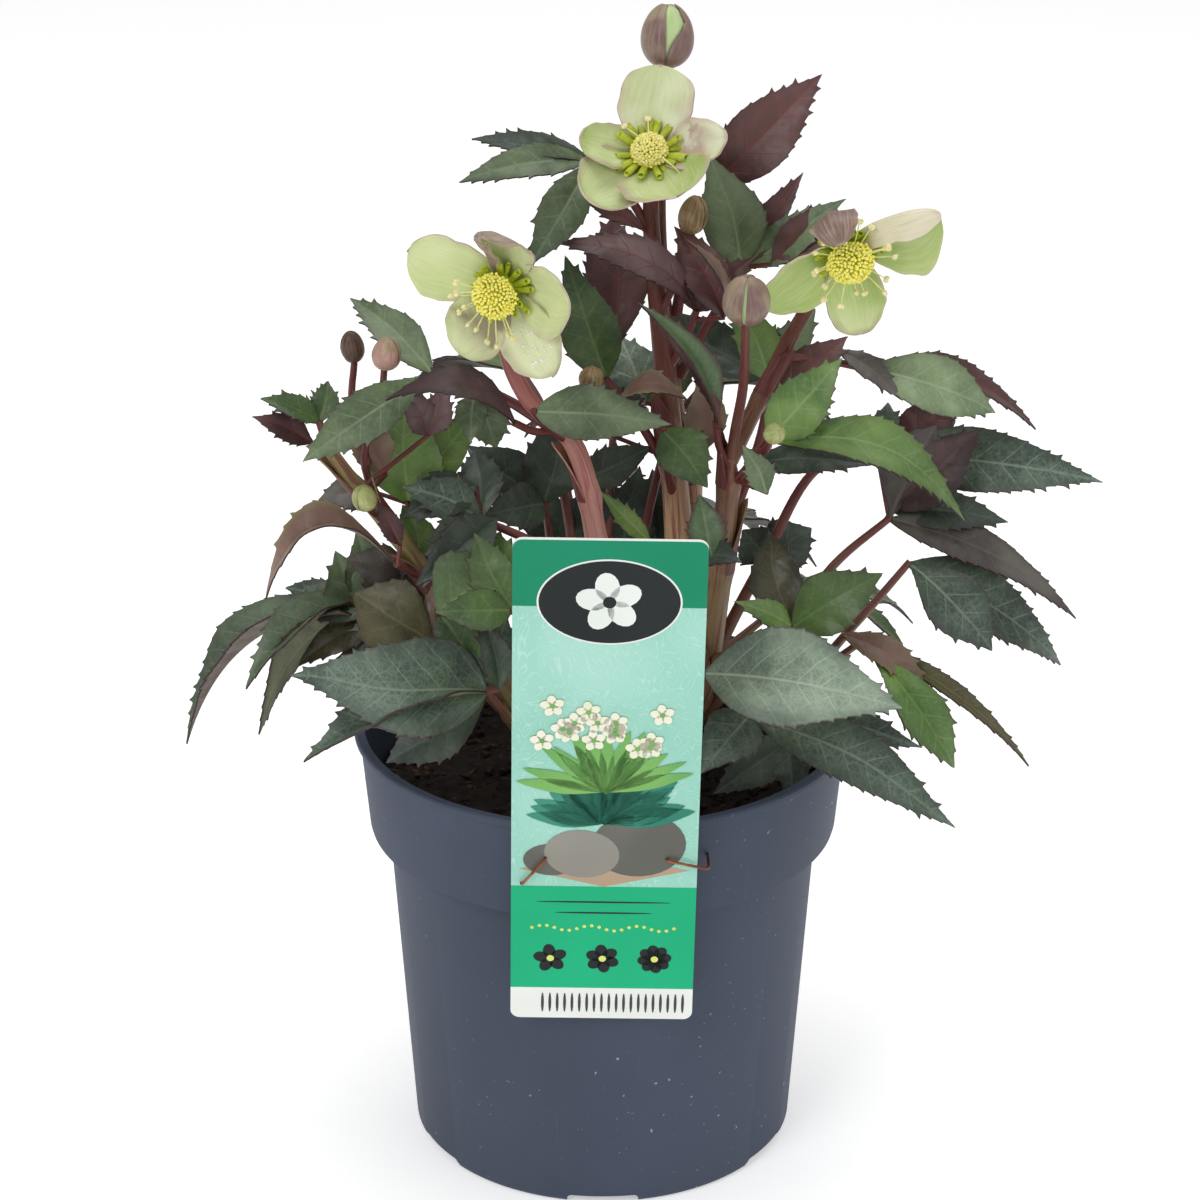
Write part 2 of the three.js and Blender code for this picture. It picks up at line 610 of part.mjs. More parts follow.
/** Leaves of the back, drooping outwards, in the same form as the listed ones. */
function makeBackLeaves() {
  return backLeaves.map(([turn, reach, height], i) => {
    const spot = (degrees, distance, z) => [
      distance * Math.cos(radians(degrees)), distance * Math.sin(radians(degrees)), z];
    const length = 46 + 4 * ((i * 7) % 3);
    const leaflets = backLeafletTurns.map((side) => {
      const span = side === 0 ? length : 0.8 * length;
      const [x, y] = spot(turn + side, span, 0);
      const [hubX, hubY] = spot(turn, reach, 0);
      return [[hubX + x, hubY + y, height - 0.35 * span - (i % 2) * 4], side === 0 ? 18 : 14, 7, 20, turn];
    });
    return {
      name: `leaf_back_${i + 1}`,
      colour: i % 3 === 2 ? 'purple' : 'leaf',
      hub: spot(turn, reach, height),
      stalk: [
        spot(turn, 9, stalkFoot), spot(turn, 0.3 * reach, stalkFoot + 0.45 * (height - stalkFoot)),
        spot(turn, 0.72 * reach, height - 9),
      ],
      leaflets,
    };
  });
}

/** Half the width of a leaflet along its length, 0 at the foot and 1 at the tip. */
const leafHalfWidth = (u, width) => (width / 2) * Math.sin(Math.PI * u ** 0.8) ** 1.2;

/** One leaflet: arched along its rib, folded a little along it, with teeth that point forwards. */
function makeLeaflet(hub, [tip, width, arch, lean, leanTowards = -90]) {
  const foot = vector(hub);
  const chord = vector(tip).sub(foot);
  const length = chord.length();
  const along = chord.clone().normalize();
  const face = new THREE.Vector3(
    Math.sin(radians(lean)) * Math.cos(radians(leanTowards)),
    Math.sin(radians(lean)) * Math.sin(radians(leanTowards)),
    Math.cos(radians(lean)));
  face.addScaledVector(along, -face.dot(along)).normalize();
  const side = face.clone().cross(along);
  const teeth = Math.round(THREE.MathUtils.clamp(length / toothSpacing, 3, 4));
  const fold = Math.tan(radians(leafletFold));
  const upper = [];
  const lower = [];
  const addPoint = (u, v) => {
    const point = foot.clone().addScaledVector(chord, u)
      .addScaledVector(face, 4 * arch * u * (1 - u) + fold * Math.abs(v))
      .addScaledVector(side, v);
    const tangent = chord.clone().addScaledVector(face, 4 * arch * (1 - 2 * u));
    const normal = tangent.cross(side).normalize();
    upper.push(point);
    lower.push(point.clone().addScaledVector(normal, -leafletThickness));
    return upper.length - 1;
  };
  const rib = [];
  const edges = { 1: [], [-1]: [] };
  for (let tooth = 0; tooth < teeth; tooth += 1) {
    const u = tooth / teeth;
    rib.push(addPoint(u, 0));
    for (const hand of [1, -1]) {
      const toothU = u + 0.78 / teeth;
      edges[hand].push(addPoint(u, hand * Math.max(0.94 * leafHalfWidth(u, width), leafletFootHalf)));
      edges[hand].push(addPoint(toothU, hand * (leafHalfWidth(toothU, width) + 0.045 * width)));
    }
  }
  const point = addPoint(1, 0);
  rib.push(point);
  const triangles = [];
  for (const hand of [1, -1]) {
    const edge = edges[hand];
    const add = (a, b, c) => triangles.push(hand === 1 ? [a, b, c] : [a, c, b]);
    for (let tooth = 0; tooth < teeth; tooth += 1) {
      add(rib[tooth], edge[2 * tooth + 1], edge[2 * tooth]);
      add(rib[tooth], rib[tooth + 1], edge[2 * tooth + 1]);
      if (tooth < teeth - 1) add(rib[tooth + 1], edge[2 * tooth + 2], edge[2 * tooth + 1]);
    }
  }
  const outline = [edges[1][0], rib[0], ...edges[-1], point, ...edges[1].slice(1).reverse()];
  return thinBody(upper, lower, triangles, outline);
}

/** The leaflets of a leaf, grown together at the hub. */
const makeLeaf = ({ hub, leaflets }) => join(leaflets.map((leaflet) => makeLeaflet(hub, leaflet)));

// ---------------------------------------------------------------- stems
const [topBloom, leftBloom, rightBloom] = blooms;
const budNamed = Object.fromEntries(buds.map((bud) => [bud.name, bud]));

const stems = [
  { route: [[6, 2, 96], [20, 2, 135], [21, 0, 174], [17, 0, 226], [13, 4, 268], ...bloomApproach(topBloom)],
    startRadius: 5.5, endRadius: 1.8 },
  { route: [[8, 6, 96], [25, 9, 145], [26, 9, 182], [21, 12, 223], [18, 14, 265], budSeat(budNamed.bud_top)],
    startRadius: 4.5, endRadius: 1.6 },
  { route: [[8, -4, 96], [26, -4, 135], [31, -8, 165], [35, -16, 214], [37, -25, 234],
    budSeat(budNamed.bud_round)], startRadius: 5, endRadius: 1.6 },
  { route: [[34, -14, 208], [49, -6, 238], [57, -10, 256], ...bloomApproach(rightBloom)],
    startRadius: 2.4, endRadius: 1.6 },
  { route: [[-2, -4, 96], [3, -12, 140], [-2, -20, 189], [-8, -22, 216], [-20, -20, 228], [-26, -18, 244],
    ...bloomApproach(leftBloom)], startRadius: 4.5, endRadius: 1.6 },
  { route: [[-6, -2, 96], [-20, -9, 124], [-31, -15, 146], [-44, -18, 169], [-54, -20, 187], [-65, -23, 203],
    [-73, -24, 215.5]], startRadius: 4.5, endRadius: 2.2 },
];
// stalks of the small buds: route up to the bud named
const budStalks = [
  ['bud_small_right', [[35, -17, 212], [41, -27, 218]]],
  ['bud_under_top', [[16, 1, 246], [21, -1, 258]]],
  ['bud_middle', [[-9, -22, 219], [-4, -26, 226]]],
  ['bud_left_pink', [[-57, -20, 191], [-64, -17, 209], [-59, -18, 226]]],
  ['bud_left_dark', [[-63, -17, 208], [-67, -14, 224]]],
  ['bud_left_low', [[-58, -21, 193], [-61, -29, 199]]],
];
const stump = { foot: [-22, -10, 130], top: [-40, -21, 172], radius: 3 };

/** The leaf stalk ends just short of the hub of its leaf. */
function makeLeafStalk({ hub, stalk }) {
  const last = vector(stalk[stalk.length - 1]);
  const end = vector(hub);
  const back = last.clone().sub(end).normalize();
  end.addScaledVector(back, leafStalk.shortOfHub);
  return taperedBar([...stalk.map(vector), end], leafStalk.startRadius, leafStalk.endRadius, 3, 3);
}

/** The crown, which stands in the soil, and all that grows up from it. */
function makeStems(allLeaves) {
  const crown = turned([
    [0, soilTop - crownDepth], [crownRadius - 3, soilTop - crownDepth], [crownRadius, soilTop - crownDepth + 4],
    [crownRadius, soilTop - 2], [crownRadius - 3, soilTop + 3], [0, soilTop + 5],
  ], 12);
  const main = stems.map(({ route, startRadius, endRadius }) => (
    taperedBar(route.map(vector), startRadius, endRadius, 6, 7)));
  const small = budStalks.map(([name, route]) => {
    const line = [...route, budSeat(budNamed[name])].map(vector);
    return taperedBar(line, budStalk.startRadius, budStalk.endRadius, 4, 3);
  });
  const cut = taperedBar([vector(stump.foot), vector(stump.top)], stump.radius, stump.radius + 0.5, 6, 1);
  return join([crown, cut, ...main, ...small, ...allLeaves.map(makeLeafStalk)]);
}

// ---------------------------------------------------------------- the whole plant
const allLeaves = [...leaves, ...makeBackLeaves()];

const holes = join(staples.map(({ ends }) => bentWire(stapleLine(ends, 1), wireRadius + gap)));
addPiece('pot', makePot().subtract(holes), colours.pot, 0.55);
addPiece('soil', makeSoil(), colours.soil, 1);
addPiece('label', makeLabel().subtract(holes), colours.label, 0.4);
for (const { name, ends } of staples) {
  addPiece(name, bentWire(stapleLine(ends, 0), wireRadius), colours.copper, 0.35, 0.8);
}
addPiece('stems', makeStems(allLeaves), colours.stem);
for (const leaf of allLeaves) addPiece(leaf.name, makeLeaf(leaf), colours[leaf.colour], 0.55);
for (const bloom of blooms) {
  addPiece(`${bloom.name}_sepals`, makeSepals(bloom), colours.sepal, 0.5);
  addPiece(`${bloom.name}_nectaries`, makeNectaries(bloom), colours.nectary, 0.4);
  addPiece(`${bloom.name}_stamens`, makeStamens(bloom), colours.stamen, 0.6);
}
for (const bud of buds) addPiece(bud.name, makeBud(bud), bud.green ? colours.greenBud : colours.bud, 0.5);

export default plant;
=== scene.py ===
"""The looks of a hellebore in bloom in its nursery pot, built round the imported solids.

The plans below are in millimetres in the part's own frame; the meshes are laid in metres.
"""

import logging
import math
from collections.abc import Callable, Iterable, Sequence
from dataclasses import dataclass
from enum import Enum

import bpy
import numpy as np
from mathutils import Matrix, Vector


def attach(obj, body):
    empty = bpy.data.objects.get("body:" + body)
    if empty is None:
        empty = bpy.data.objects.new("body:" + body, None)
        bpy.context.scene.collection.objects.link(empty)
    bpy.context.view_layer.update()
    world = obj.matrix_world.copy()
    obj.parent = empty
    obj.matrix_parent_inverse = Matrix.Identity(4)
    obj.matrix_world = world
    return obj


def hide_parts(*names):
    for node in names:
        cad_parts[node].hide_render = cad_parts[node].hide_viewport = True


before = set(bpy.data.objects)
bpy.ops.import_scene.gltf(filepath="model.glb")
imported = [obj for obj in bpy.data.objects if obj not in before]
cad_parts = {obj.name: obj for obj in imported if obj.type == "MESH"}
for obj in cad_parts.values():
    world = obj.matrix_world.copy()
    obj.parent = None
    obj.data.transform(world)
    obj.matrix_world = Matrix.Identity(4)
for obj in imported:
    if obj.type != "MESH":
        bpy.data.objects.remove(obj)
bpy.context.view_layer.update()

MM = 0.001
SEED = 14
FRONT = -90.0                    # degrees round the pot, where +X is 0
VEINS_PER_CM = 1.45              # side veins along the rib of a leaflet
VEIN_SWEEP = 0.95                # how far they run forwards for each step outwards
SEAM = 0.002                     # points closer than this are one point
Piece = bpy.types.Object
Array = np.ndarray
Point = tuple[float, float, float]
Rule = Callable[[Array, Array], Array]
log = logging.getLogger("hellebore")


# ---------------------------------------------------------------- the bench: how meshes are made
def choose(*pieces: Piece) -> None:
    """Selects some pieces alone, or none, and makes the first one active.

    Args:
        pieces: what to select.
    """
    bpy.ops.object.select_all(action="DESELECT")
    for piece in pieces:
        piece.select_set(True)
    if pieces:
        bpy.context.view_layer.objects.active = pieces[0]


def added(operator: Callable[..., object], **settings: object) -> Piece:
    """Adds a primitive with nothing else selected.

    Args:
        operator: the operator that adds it.
        settings: its sizes, in metres.

    Returns:
        The new piece.
    """
    choose()
    operator(**settings)
    return bpy.context.active_object


def unit(direction: Sequence[float]) -> Array:
    """The direction with length one."""
    given = np.array(direction, float)
    return given / np.linalg.norm(given)


def columns(*values: object) -> Array:
    """Numbers side by side, one row for each point; a single number stands for all of them."""
    return np.stack(np.broadcast_arrays(*values), 1)


def write_points(piece: Piece, points: Array) -> None:
    """Puts the points of a mesh at places given in millimetres."""
    piece.data.vertices.foreach_set("co", (points * MM).astype(np.float32).ravel())
    piece.data.update()


def write_grain(piece: Piece, name: str, values: Array) -> None:
    """Keeps one vector for each point of a mesh, for its finish to read.

    Args:
        piece: the mesh's object.
        name: the attribute's name.
        values: one row of three numbers for each point.
    """
    made = piece.data.attributes.new(name, "FLOAT_VECTOR", "POINT")
    made.data.foreach_set("vector", values.astype(np.float32).ravel())


def grid(name: str, rows: int, steps: int) -> tuple[Piece, Array, Array]:
    """A grid primitive with the share of each point along it and across it.

    Args:
        name: the piece's name.
        rows: steps along.
        steps: steps across.

    Returns:
        The piece, and for each point its share along and its share across, from 0 to 1.
    """
    piece = added(bpy.ops.mesh.primitive_grid_add, x_subdivisions=rows, y_subdivisions=steps, size=1)
    piece.name = name
    flat = np.empty(len(piece.data.vertices) * 3, np.float32)
    piece.data.vertices.foreach_get("co", flat)
    flat = flat.reshape(-1, 3)
    return piece, flat[:, 0] + 0.5, flat[:, 1] + 0.5


def merge_seams(piece: Piece) -> None:
    """Merges the points that lie on each other, where a rolled grid meets itself.

    Args:
        piece: the rolled grid.
    """
    choose(piece)
    bpy.ops.object.mode_set(mode="EDIT")
    bpy.ops.mesh.select_all(action="SELECT")
    bpy.ops.mesh.remove_doubles(threshold=SEAM * MM)
    bpy.ops.object.mode_set(mode="OBJECT")


def apply_modifier(piece: Piece, kind: str, **settings: object) -> None:
    """Gives a piece one modifier and applies it.

    Args:
        piece: the piece.
        kind: the modifier's type.
        settings: its settings by name.
    """
    choose(piece)
    modifier = piece.modifiers.new(kind.lower(), kind)
    for key, value in settings.items():
        setattr(modifier, key, value)
    bpy.ops.object.modifier_apply(modifier=modifier.name)


def thicken(piece: Piece, thickness: float) -> None:
    """Turns a dressed sheet into a body below its face; its materials are face, back and rim.

    Args:
        piece: the sheet.
        thickness: how thick the body is.
    """
    last = len(piece.data.materials) - 1
    apply_modifier(piece, "SOLIDIFY", thickness=thickness * MM, offset=-1.0,
                   material_offset=min(1, last), material_offset_rim=min(2, last))


def smooth(piece: Piece, degrees: float = 50) -> None:
    """Shades a piece smooth, apart from edges sharper than the angle."""
    choose(piece)
    bpy.ops.object.shade_smooth_by_angle(angle=math.radians(degrees))


def dress(piece: Piece, *materials: bpy.types.Material) -> Piece:
    """Gives a piece its materials.

    Args:
        piece: the piece.
        materials: what it wears, in the order of its slots.

    Returns:
        The same piece.
    """
    piece.data.materials.clear()
    for material in materials:
        piece.data.materials.append(material)
    return piece


def join(name: str, parts: Sequence[Piece]) -> Piece:
    """Joins parts into one piece.

    Args:
        name: the joined piece's name.
        parts: the parts, which are used up.

    Returns:
        The joined piece.
    """
    choose(*parts)
    if len(parts) > 1:
        bpy.ops.object.join()
    parts[0].name = name
    parts[0].data.name = name
    return parts[0]


def copies(name: str, pattern: Piece, places: Iterable[Matrix]) -> Piece:
    """Copies a modelled pattern to every place, each with its own mesh, and joins the copies.

    Args:
        name: the joined piece's name.
        pattern: the piece to copy, which is used up.
        places: where each copy goes.

    Returns:
        The joined piece.
    """
    made = []
    for place in places:
        twin = pattern.copy()
        twin.data = pattern.data.copy()
        twin.data.transform(place)
        bpy.context.scene.collection.objects.link(twin)
        made.append(twin)
    bpy.data.objects.remove(pattern)
    return join(name, made)


def settle(piece: Piece, slot: str, *nodes: str) -> Piece:
    """Lets a finished piece ride on the part and stand for its CAD nodes.

    Args:
        piece: the finished piece.
        slot: a material slot's name; not used.
        nodes: the CAD nodes that it replaces.

    Returns:
        The same piece.
    """
    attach(piece, "root")
    if nodes:
        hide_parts(*nodes)
    triangles = sum(len(face.vertices) - 2 for face in piece.data.polygons)
    log.info("%s: %d triangles", piece.name, triangles)
    return piece


def smooth_route(points: Sequence[Point], steps: int) -> Array:
    """Even steps along a centripetal curve through the points.

    Args:
        points: what the curve passes through.
        steps: how many steps to cut it into.

    Returns:
        steps + 1 points.
    """
    given = np.array(points, float)
    held = np.vstack([2 * given[0] - given[1], given, 2 * given[-1] - given[-2]])
    share = np.linspace(0, 1, 25)[:, None]
    fine = []
    for before, start, end, after in zip(held, held[1:], held[2:], held[3:]):
        lead, span, trail = (
            math.sqrt(np.linalg.norm(b - a)) for a, b in ((before, start), (start, end), (end, after))
        )
        leave = (start - before) / lead - (end - before) / (lead + span) + (end - start) / span
        arrive = (end - start) / span - (after - start) / (span + trail) + (after - end) / trail
        square, cube = share**2, share**3
        fine.append(
            (2 * cube - 3 * square + 1) * start
            + (cube - 2 * square + share) * leave * span
            + (3 * square - 2 * cube) * end
            + (cube - square) * arrive * span
        )
    line = np.vstack(fine)
    length = np.concatenate([[0], np.cumsum(np.linalg.norm(np.diff(line, axis=0), axis=1))])
    even = np.linspace(0, length[-1], steps + 1)
    return np.stack([np.interp(even, length, line[:, axis]) for axis in range(3)], axis=1)


def travelling_axes(line: Array) -> tuple[Array, Array]:
    """Two cross axes at each point of a line that turn with it and don't spin.

    Args:
        line: the points of the line.

    Returns:
        The first and the second axis, one row for each point.
    """
    ahead = np.gradient(line, axis=0)
    ahead /= np.linalg.norm(ahead, axis=1)[:, None]
    seed = (1.0, 0.0, 0.0) if abs(ahead[0][0]) < 0.8 else (0.0, 1.0, 0.0)
    across = [unit(np.cross(ahead[0], seed))]
    for direction in ahead[1:]:
        across.append(unit(across[-1] - direction * (across[-1] @ direction)))
    first = np.array(across)
    return first, np.cross(ahead, first)


def tube(name: str, line: Array, girth: Rule, sides: int) -> Piece:
    """A closed round bar along a line: a grid rolled round it, drawn to a point at both ends.

    Args:
        name: the piece's name.
        line: the centre line, in even steps.
        girth: radius by share along and angle in radians.
        sides: faces round the bar.

    Returns:
        The bar. Its attribute grain holds centimetres along and the place in its section.
    """
    rows = len(line) + 1
    piece, along, around = grid(name, rows, sides)
    row = np.clip(np.rint(along * rows).astype(int) - 1, 0, len(line) - 1)
    end = (along < 0.5 / rows) | (along > 1 - 0.5 / rows)
    angle = -2 * np.pi * around
    share = row / (len(line) - 1)
    radius = np.where(end, 0, girth(share, angle))
    first, second = travelling_axes(line)
    offset = first[row] * (np.cos(angle) * radius)[:, None]
    offset = offset + second[row] * (np.sin(angle) * radius)[:, None]
    write_points(piece, line[row] + offset)
    step = np.concatenate([[0], np.cumsum(np.linalg.norm(np.diff(line, axis=0), axis=1))])
    write_grain(piece, "grain", columns(step[row], radius * np.cos(angle), radius * np.sin(angle)) / 10)
    merge_seams(piece)
    smooth(piece)
    return piece


def facing(direction: Sequence[float], turn: float = 0) -> Matrix:
    """The turn that takes +Z to a direction, after a spin in degrees round +Z."""
    upright = Vector((0, 0, 1)).rotation_difference(Vector(direction)).to_matrix().to_4x4()
    return upright @ Matrix.Rotation(math.radians(turn), 4, "Z")


# ---------------------------------------------------------------- finishes
Socket = bpy.types.NodeSocket
Colour = tuple[float, float, float, float]


def tone(code: str) -> Colour:
    """A linear colour from its screen code.

    Args:
        code: six digits, two each for red, green and blue.

    Returns:
        The colour with full cover.
    """
    parts = [int(code[i : i + 2], 16) / 255 for i in (0, 2, 4)]
    linear = [p / 12.92 if p <= 0.04045 else ((p + 0.055) / 1.055) ** 2.4 for p in parts]
    return (linear[0], linear[1], linear[2], 1.0)


class Recipe:
    """The nodes of one material, laid down one call at a time."""

    def __init__(self, name: str, roughness: float = 0.5, specular: float = 0.5) -> None:
        """Starts a material.

        Args:
            name: the material's name.
            roughness: what the shader starts from.
            specular: the shader's specular level.
        """
        self.material = bpy.data.materials.new(name)
        self.material.use_nodes = True
        self.tree = self.material.node_tree
        self.skin = self.tree.nodes["Principled BSDF"]
        self.skin.inputs["Roughness"].default_value = roughness
        self.skin.inputs["Specular IOR Level"].default_value = specular
        self.colour: Socket | None = None

    def lay(self, kind: str, inputs: dict[object, object], **settings: object) -> bpy.types.Node:
        """Adds a node.

        Args:
            kind: the node's type, without ShaderNode.
            inputs: what goes into its sockets, a value or another node's socket.
            settings: the node's own settings.

        Returns:
            The node.
        """
        made = self.tree.nodes.new("ShaderNode" + kind)
        for key, value in settings.items():
            setattr(made, key, value)
        for key, value in inputs.items():
            if isinstance(value, Socket):
                self.tree.links.new(value, made.inputs[key])
            else:
                made.inputs[key].default_value = value
        return made

    def place(self, scale: Point = (1, 1, 1), source: str = "") -> Socket:
        """Where a point is.

        Args:
            scale: how the pattern is squeezed along each axis.
            source: the piece's own attribute to read; object coordinates if there is none.

        Returns:
            The place.
        """
        if source:
            start = self.lay("Attribute", {}, attribute_name=source).outputs["Vector"]
        else:
            start = self.lay("TexCoord", {}).outputs["Object"]
        return self.lay("Mapping", {"Vector": start, "Scale": scale}).outputs["Vector"]

    def axis(self, vector: Socket, name: str) -> Socket:
        """One number of a vector: X, Y or Z."""
        return self.lay("SeparateXYZ", {"Vector": vector}).outputs[name]

    def maths(self, operation: str, first: object, second: object = 0.0) -> Socket:
        """One sum on two numbers."""
        return self.lay("Math", {0: first, 1: second}, operation=operation).outputs[0]

    def times(self, first: object, second: object) -> Socket:
        """The product of two numbers."""
        return self.maths("MULTIPLY", first, second)

    def plus(self, first: object, second: object) -> Socket:
        """The sum of two numbers."""
        return self.maths("ADD", first, second)

    def noise(self, where: Socket, scale: float, detail: float = 4, wander: float = 0) -> Socket:
        """Smooth noise from 0 to 1."""
        inputs = {"Vector": where, "Scale": scale, "Detail": detail, "Distortion": wander}
        return self.lay("TexNoise", inputs).outputs["Fac"]

    def cells(self, where: Socket, scale: float) -> Socket:
        """Distance to the nearest border of a random net of cells."""
        inputs = {"Vector": where, "Scale": scale}
        return self.lay("TexVoronoi", inputs, feature="DISTANCE_TO_EDGE").outputs["Distance"]

    def ease(self, value: Socket, low: float, high: float, start: float = 0, end: float = 1) -> Socket:
        """Eases from start to end while the value goes from low to high."""
        inputs = {"Value": value, "From Min": low, "From Max": high, "To Min": start, "To Max": end}
        return self.lay("MapRange", inputs, interpolation_type="SMOOTHSTEP").outputs["Result"]

    def coat(self, share: object, over: str, ground: str = "") -> None:
        """Lays a colour over what is painted so far.

        Args:
            share: how much of it shows.
            over: its screen code.
            ground: the screen code of a ground to start from instead.
        """
        below = tone(ground) if ground else self.colour
        mixed = self.lay("Mix", {0: share, 6: below, 7: tone(over)}, data_type="RGBA")
        self.colour = mixed.outputs[2]

    def paint(self, roughness: Socket | None = None) -> None:
        """Sends the colour to the shader.

        Args:
            roughness: the roughness, where it varies.
        """
        self.tree.links.new(self.colour, self.skin.inputs["Base Color"])
        if roughness is not None:
            self.tree.links.new(roughness, self.skin.inputs["Roughness"])

    def emboss(self, height: Socket, depth: float, strength: float = 1.0) -> bpy.types.Material:
        """Bumps the surface by a height map and ends the recipe.

        Args:
            height: the height, about 0 to 1.
            depth: how deep a height of 1 is, in millimetres.
            strength: the bump's strength.

        Returns:
            The finished material.
        """
        inputs = {"Height": height, "Distance": depth * MM, "Strength": strength}
        normal = self.lay("Bump", inputs).outputs["Normal"]
        self.tree.links.new(normal, self.skin.inputs["Normal"])
        return self.material


@dataclass(frozen=True)
class Finish:
    """A finish with a name of its own, whose material is made once."""

    name: str

    def material(self) -> bpy.types.Material:
        """The finish as a material."""
        return bpy.data.materials.get(self.name) or self.make()

    def make(self) -> bpy.types.Material:
        """Lays down the nodes of the material; every kind of finish has its own way."""
        raise NotImplementedError


@dataclass(frozen=True)
class BladeFinish(Finish):
    """One face of a leaf: ground colours, ribs and veins, the fine net, and the tint at the edge."""

    ground: str
    shade: str
    vein: str
    net: float = 0.25
    rib: float = 0.5
    sides: float = 0.25
    margin: str = "3d2c2c"
    margin_share: float = 0.2
    warm: str = "62813c"
    warm_share: float = 0.3
    roughness: float = 0.42
    relief: float = 0.22
    tip_light: float = 1.0           # how light its tip is beside its foot

    def side_veins(self, recipe: Recipe, along: Socket, across: Socket, wobble: Socket) -> Socket:
        """Side veins that leave the rib and sweep forwards, 1 on a vein and 0 between.

        Args:
            recipe: where the nodes go.
            along: centimetres along the rib.
            across: centimetres from the rib.
            wobble: noise that bends the veins.

        Returns:
            The mask.
        """
        sweep = recipe.times(across, VEIN_SWEEP)
        start = recipe.maths("SUBTRACT", along, sweep)
        bent = recipe.plus(start, recipe.times(wobble, 0.16))
        phase = recipe.maths("PINGPONG", recipe.times(bent, VEINS_PER_CM), 0.5)
        return recipe.ease(phase, 0.01, 0.06, 1, 0)

    def make(self) -> bpy.types.Material:
        """Lays down the nodes of the material.

        Returns:
            The material.
        """
        recipe = Recipe(self.name, self.roughness, 0.38)
        here = recipe.place()
        own = recipe.place(source="grain")
        share = recipe.place(source="share")
        along = recipe.axis(own, "X")
        across = recipe.maths("ABSOLUTE", recipe.axis(own, "Y"))
        outwards = recipe.axis(share, "Y")
        luck = recipe.axis(share, "Z")
        far = recipe.axis(share, "X")
        wobble = recipe.noise(here, 120, 2)
        patches = recipe.noise(here, 46, 5, 0.6)
        speckle = recipe.noise(here, 900, 3)
        stir = recipe.lay("TexNoise", {"Vector": here, "Scale": 180.0}).outputs["Color"]
        shift = recipe.lay("VectorMath", {0: stir, 1: (0.0016, 0.0016, 0.0016)}, operation="MULTIPLY")
        bent = recipe.lay("VectorMath", {0: here, 1: shift.outputs[0]}).outputs[0]
        coarse_net = recipe.ease(recipe.cells(bent, 260), 0, 0.1, 1, 0)
        fine_net = recipe.ease(recipe.cells(bent, 640), 0, 0.13, 1, 0)
        side = self.side_veins(recipe, along, across, wobble)
        side = recipe.times(side, recipe.ease(outwards, 0.35, 1.0, 0.85, 0.25))
        rib = recipe.times(recipe.ease(across, 0.012, 0.055, 1, 0), recipe.ease(far, 0, 1, 1, 0.35))
        recipe.coat(recipe.ease(patches, 0.35, 0.68), self.ground, self.shade)
        base = recipe.times(recipe.ease(far, 0.75, 0.0), recipe.ease(wobble, 0.3, 0.7))
        recipe.coat(recipe.times(base, self.warm_share), self.warm)
        specks = recipe.times(recipe.ease(speckle, 0.45, 0.75), 0.14)
        recipe.coat(specks, self.vein)
        veil = recipe.maths("MAXIMUM", recipe.times(coarse_net, 0.45), recipe.times(fine_net, 0.45))
        fade = recipe.times(recipe.ease(patches, 0.25, 0.7, 0.45, 1.0), self.net)
        fade = recipe.times(fade, recipe.ease(outwards, 0.9, 0.35, 0.15, 1.0))
        recipe.coat(recipe.times(veil, fade), self.vein)
        lines = recipe.maths("MAXIMUM", recipe.times(side, self.sides), recipe.times(rib, self.rib))
        recipe.coat(lines, self.vein)
        tint = recipe.ease(outwards, 0.6, 1.0, 0, self.margin_share)
        edge = recipe.plus(tint, recipe.ease(outwards, 0.94, 1.0, 0, 0.6))
        recipe.coat(edge, self.margin)
        own_light = recipe.ease(luck, 0, 1, 0.86, 1.12)
        value = recipe.times(own_light, recipe.ease(far, 0.4, 1.0, 1.0, self.tip_light))
        light = recipe.lay("HueSaturation", {"Color": recipe.colour, "Value": value})
        recipe.colour = light.outputs["Color"]
        rough = recipe.ease(patches, 0.3, 0.7, self.roughness + 0.07, self.roughness - 0.05)
        recipe.paint(rough)
        pillow = recipe.ease(recipe.cells(bent, 230), 0, 0.3)
        relief = recipe.maths("SUBTRACT", recipe.times(pillow, 0.35), recipe.times(lines, 0.8))
        relief = recipe.plus(relief, recipe.times(speckle, 0.12))
        return recipe.emboss(relief, self.relief, 0.8)


BACK_OLIVE = BladeFinish(
    "blade_back_olive", "8f937a", "747964", "a6a68c", 0.15, 0.4, 0.2, "5e4a46", 0.3, roughness=0.6)
BACK_MAUVE = BladeFinish(
    "blade_back_mauve", "93857d", "756862", "6a5450", 0.15, 0.5, 0.35, "5a3f3c", 0.3, roughness=0.55)
BACK_DARK = BladeFinish(
    "blade_back_dark", "4e4a45", "393331", "6b5a55", 0.15, 0.4, 0.2, "2d2222", 0.3, roughness=0.6)
RIM = BladeFinish(
    "blade_rim", "4a3a34", "38292a", "6b5a4a", 0.1, 0.1, 0.0, "3a2628", 0.2, roughness=0.55)


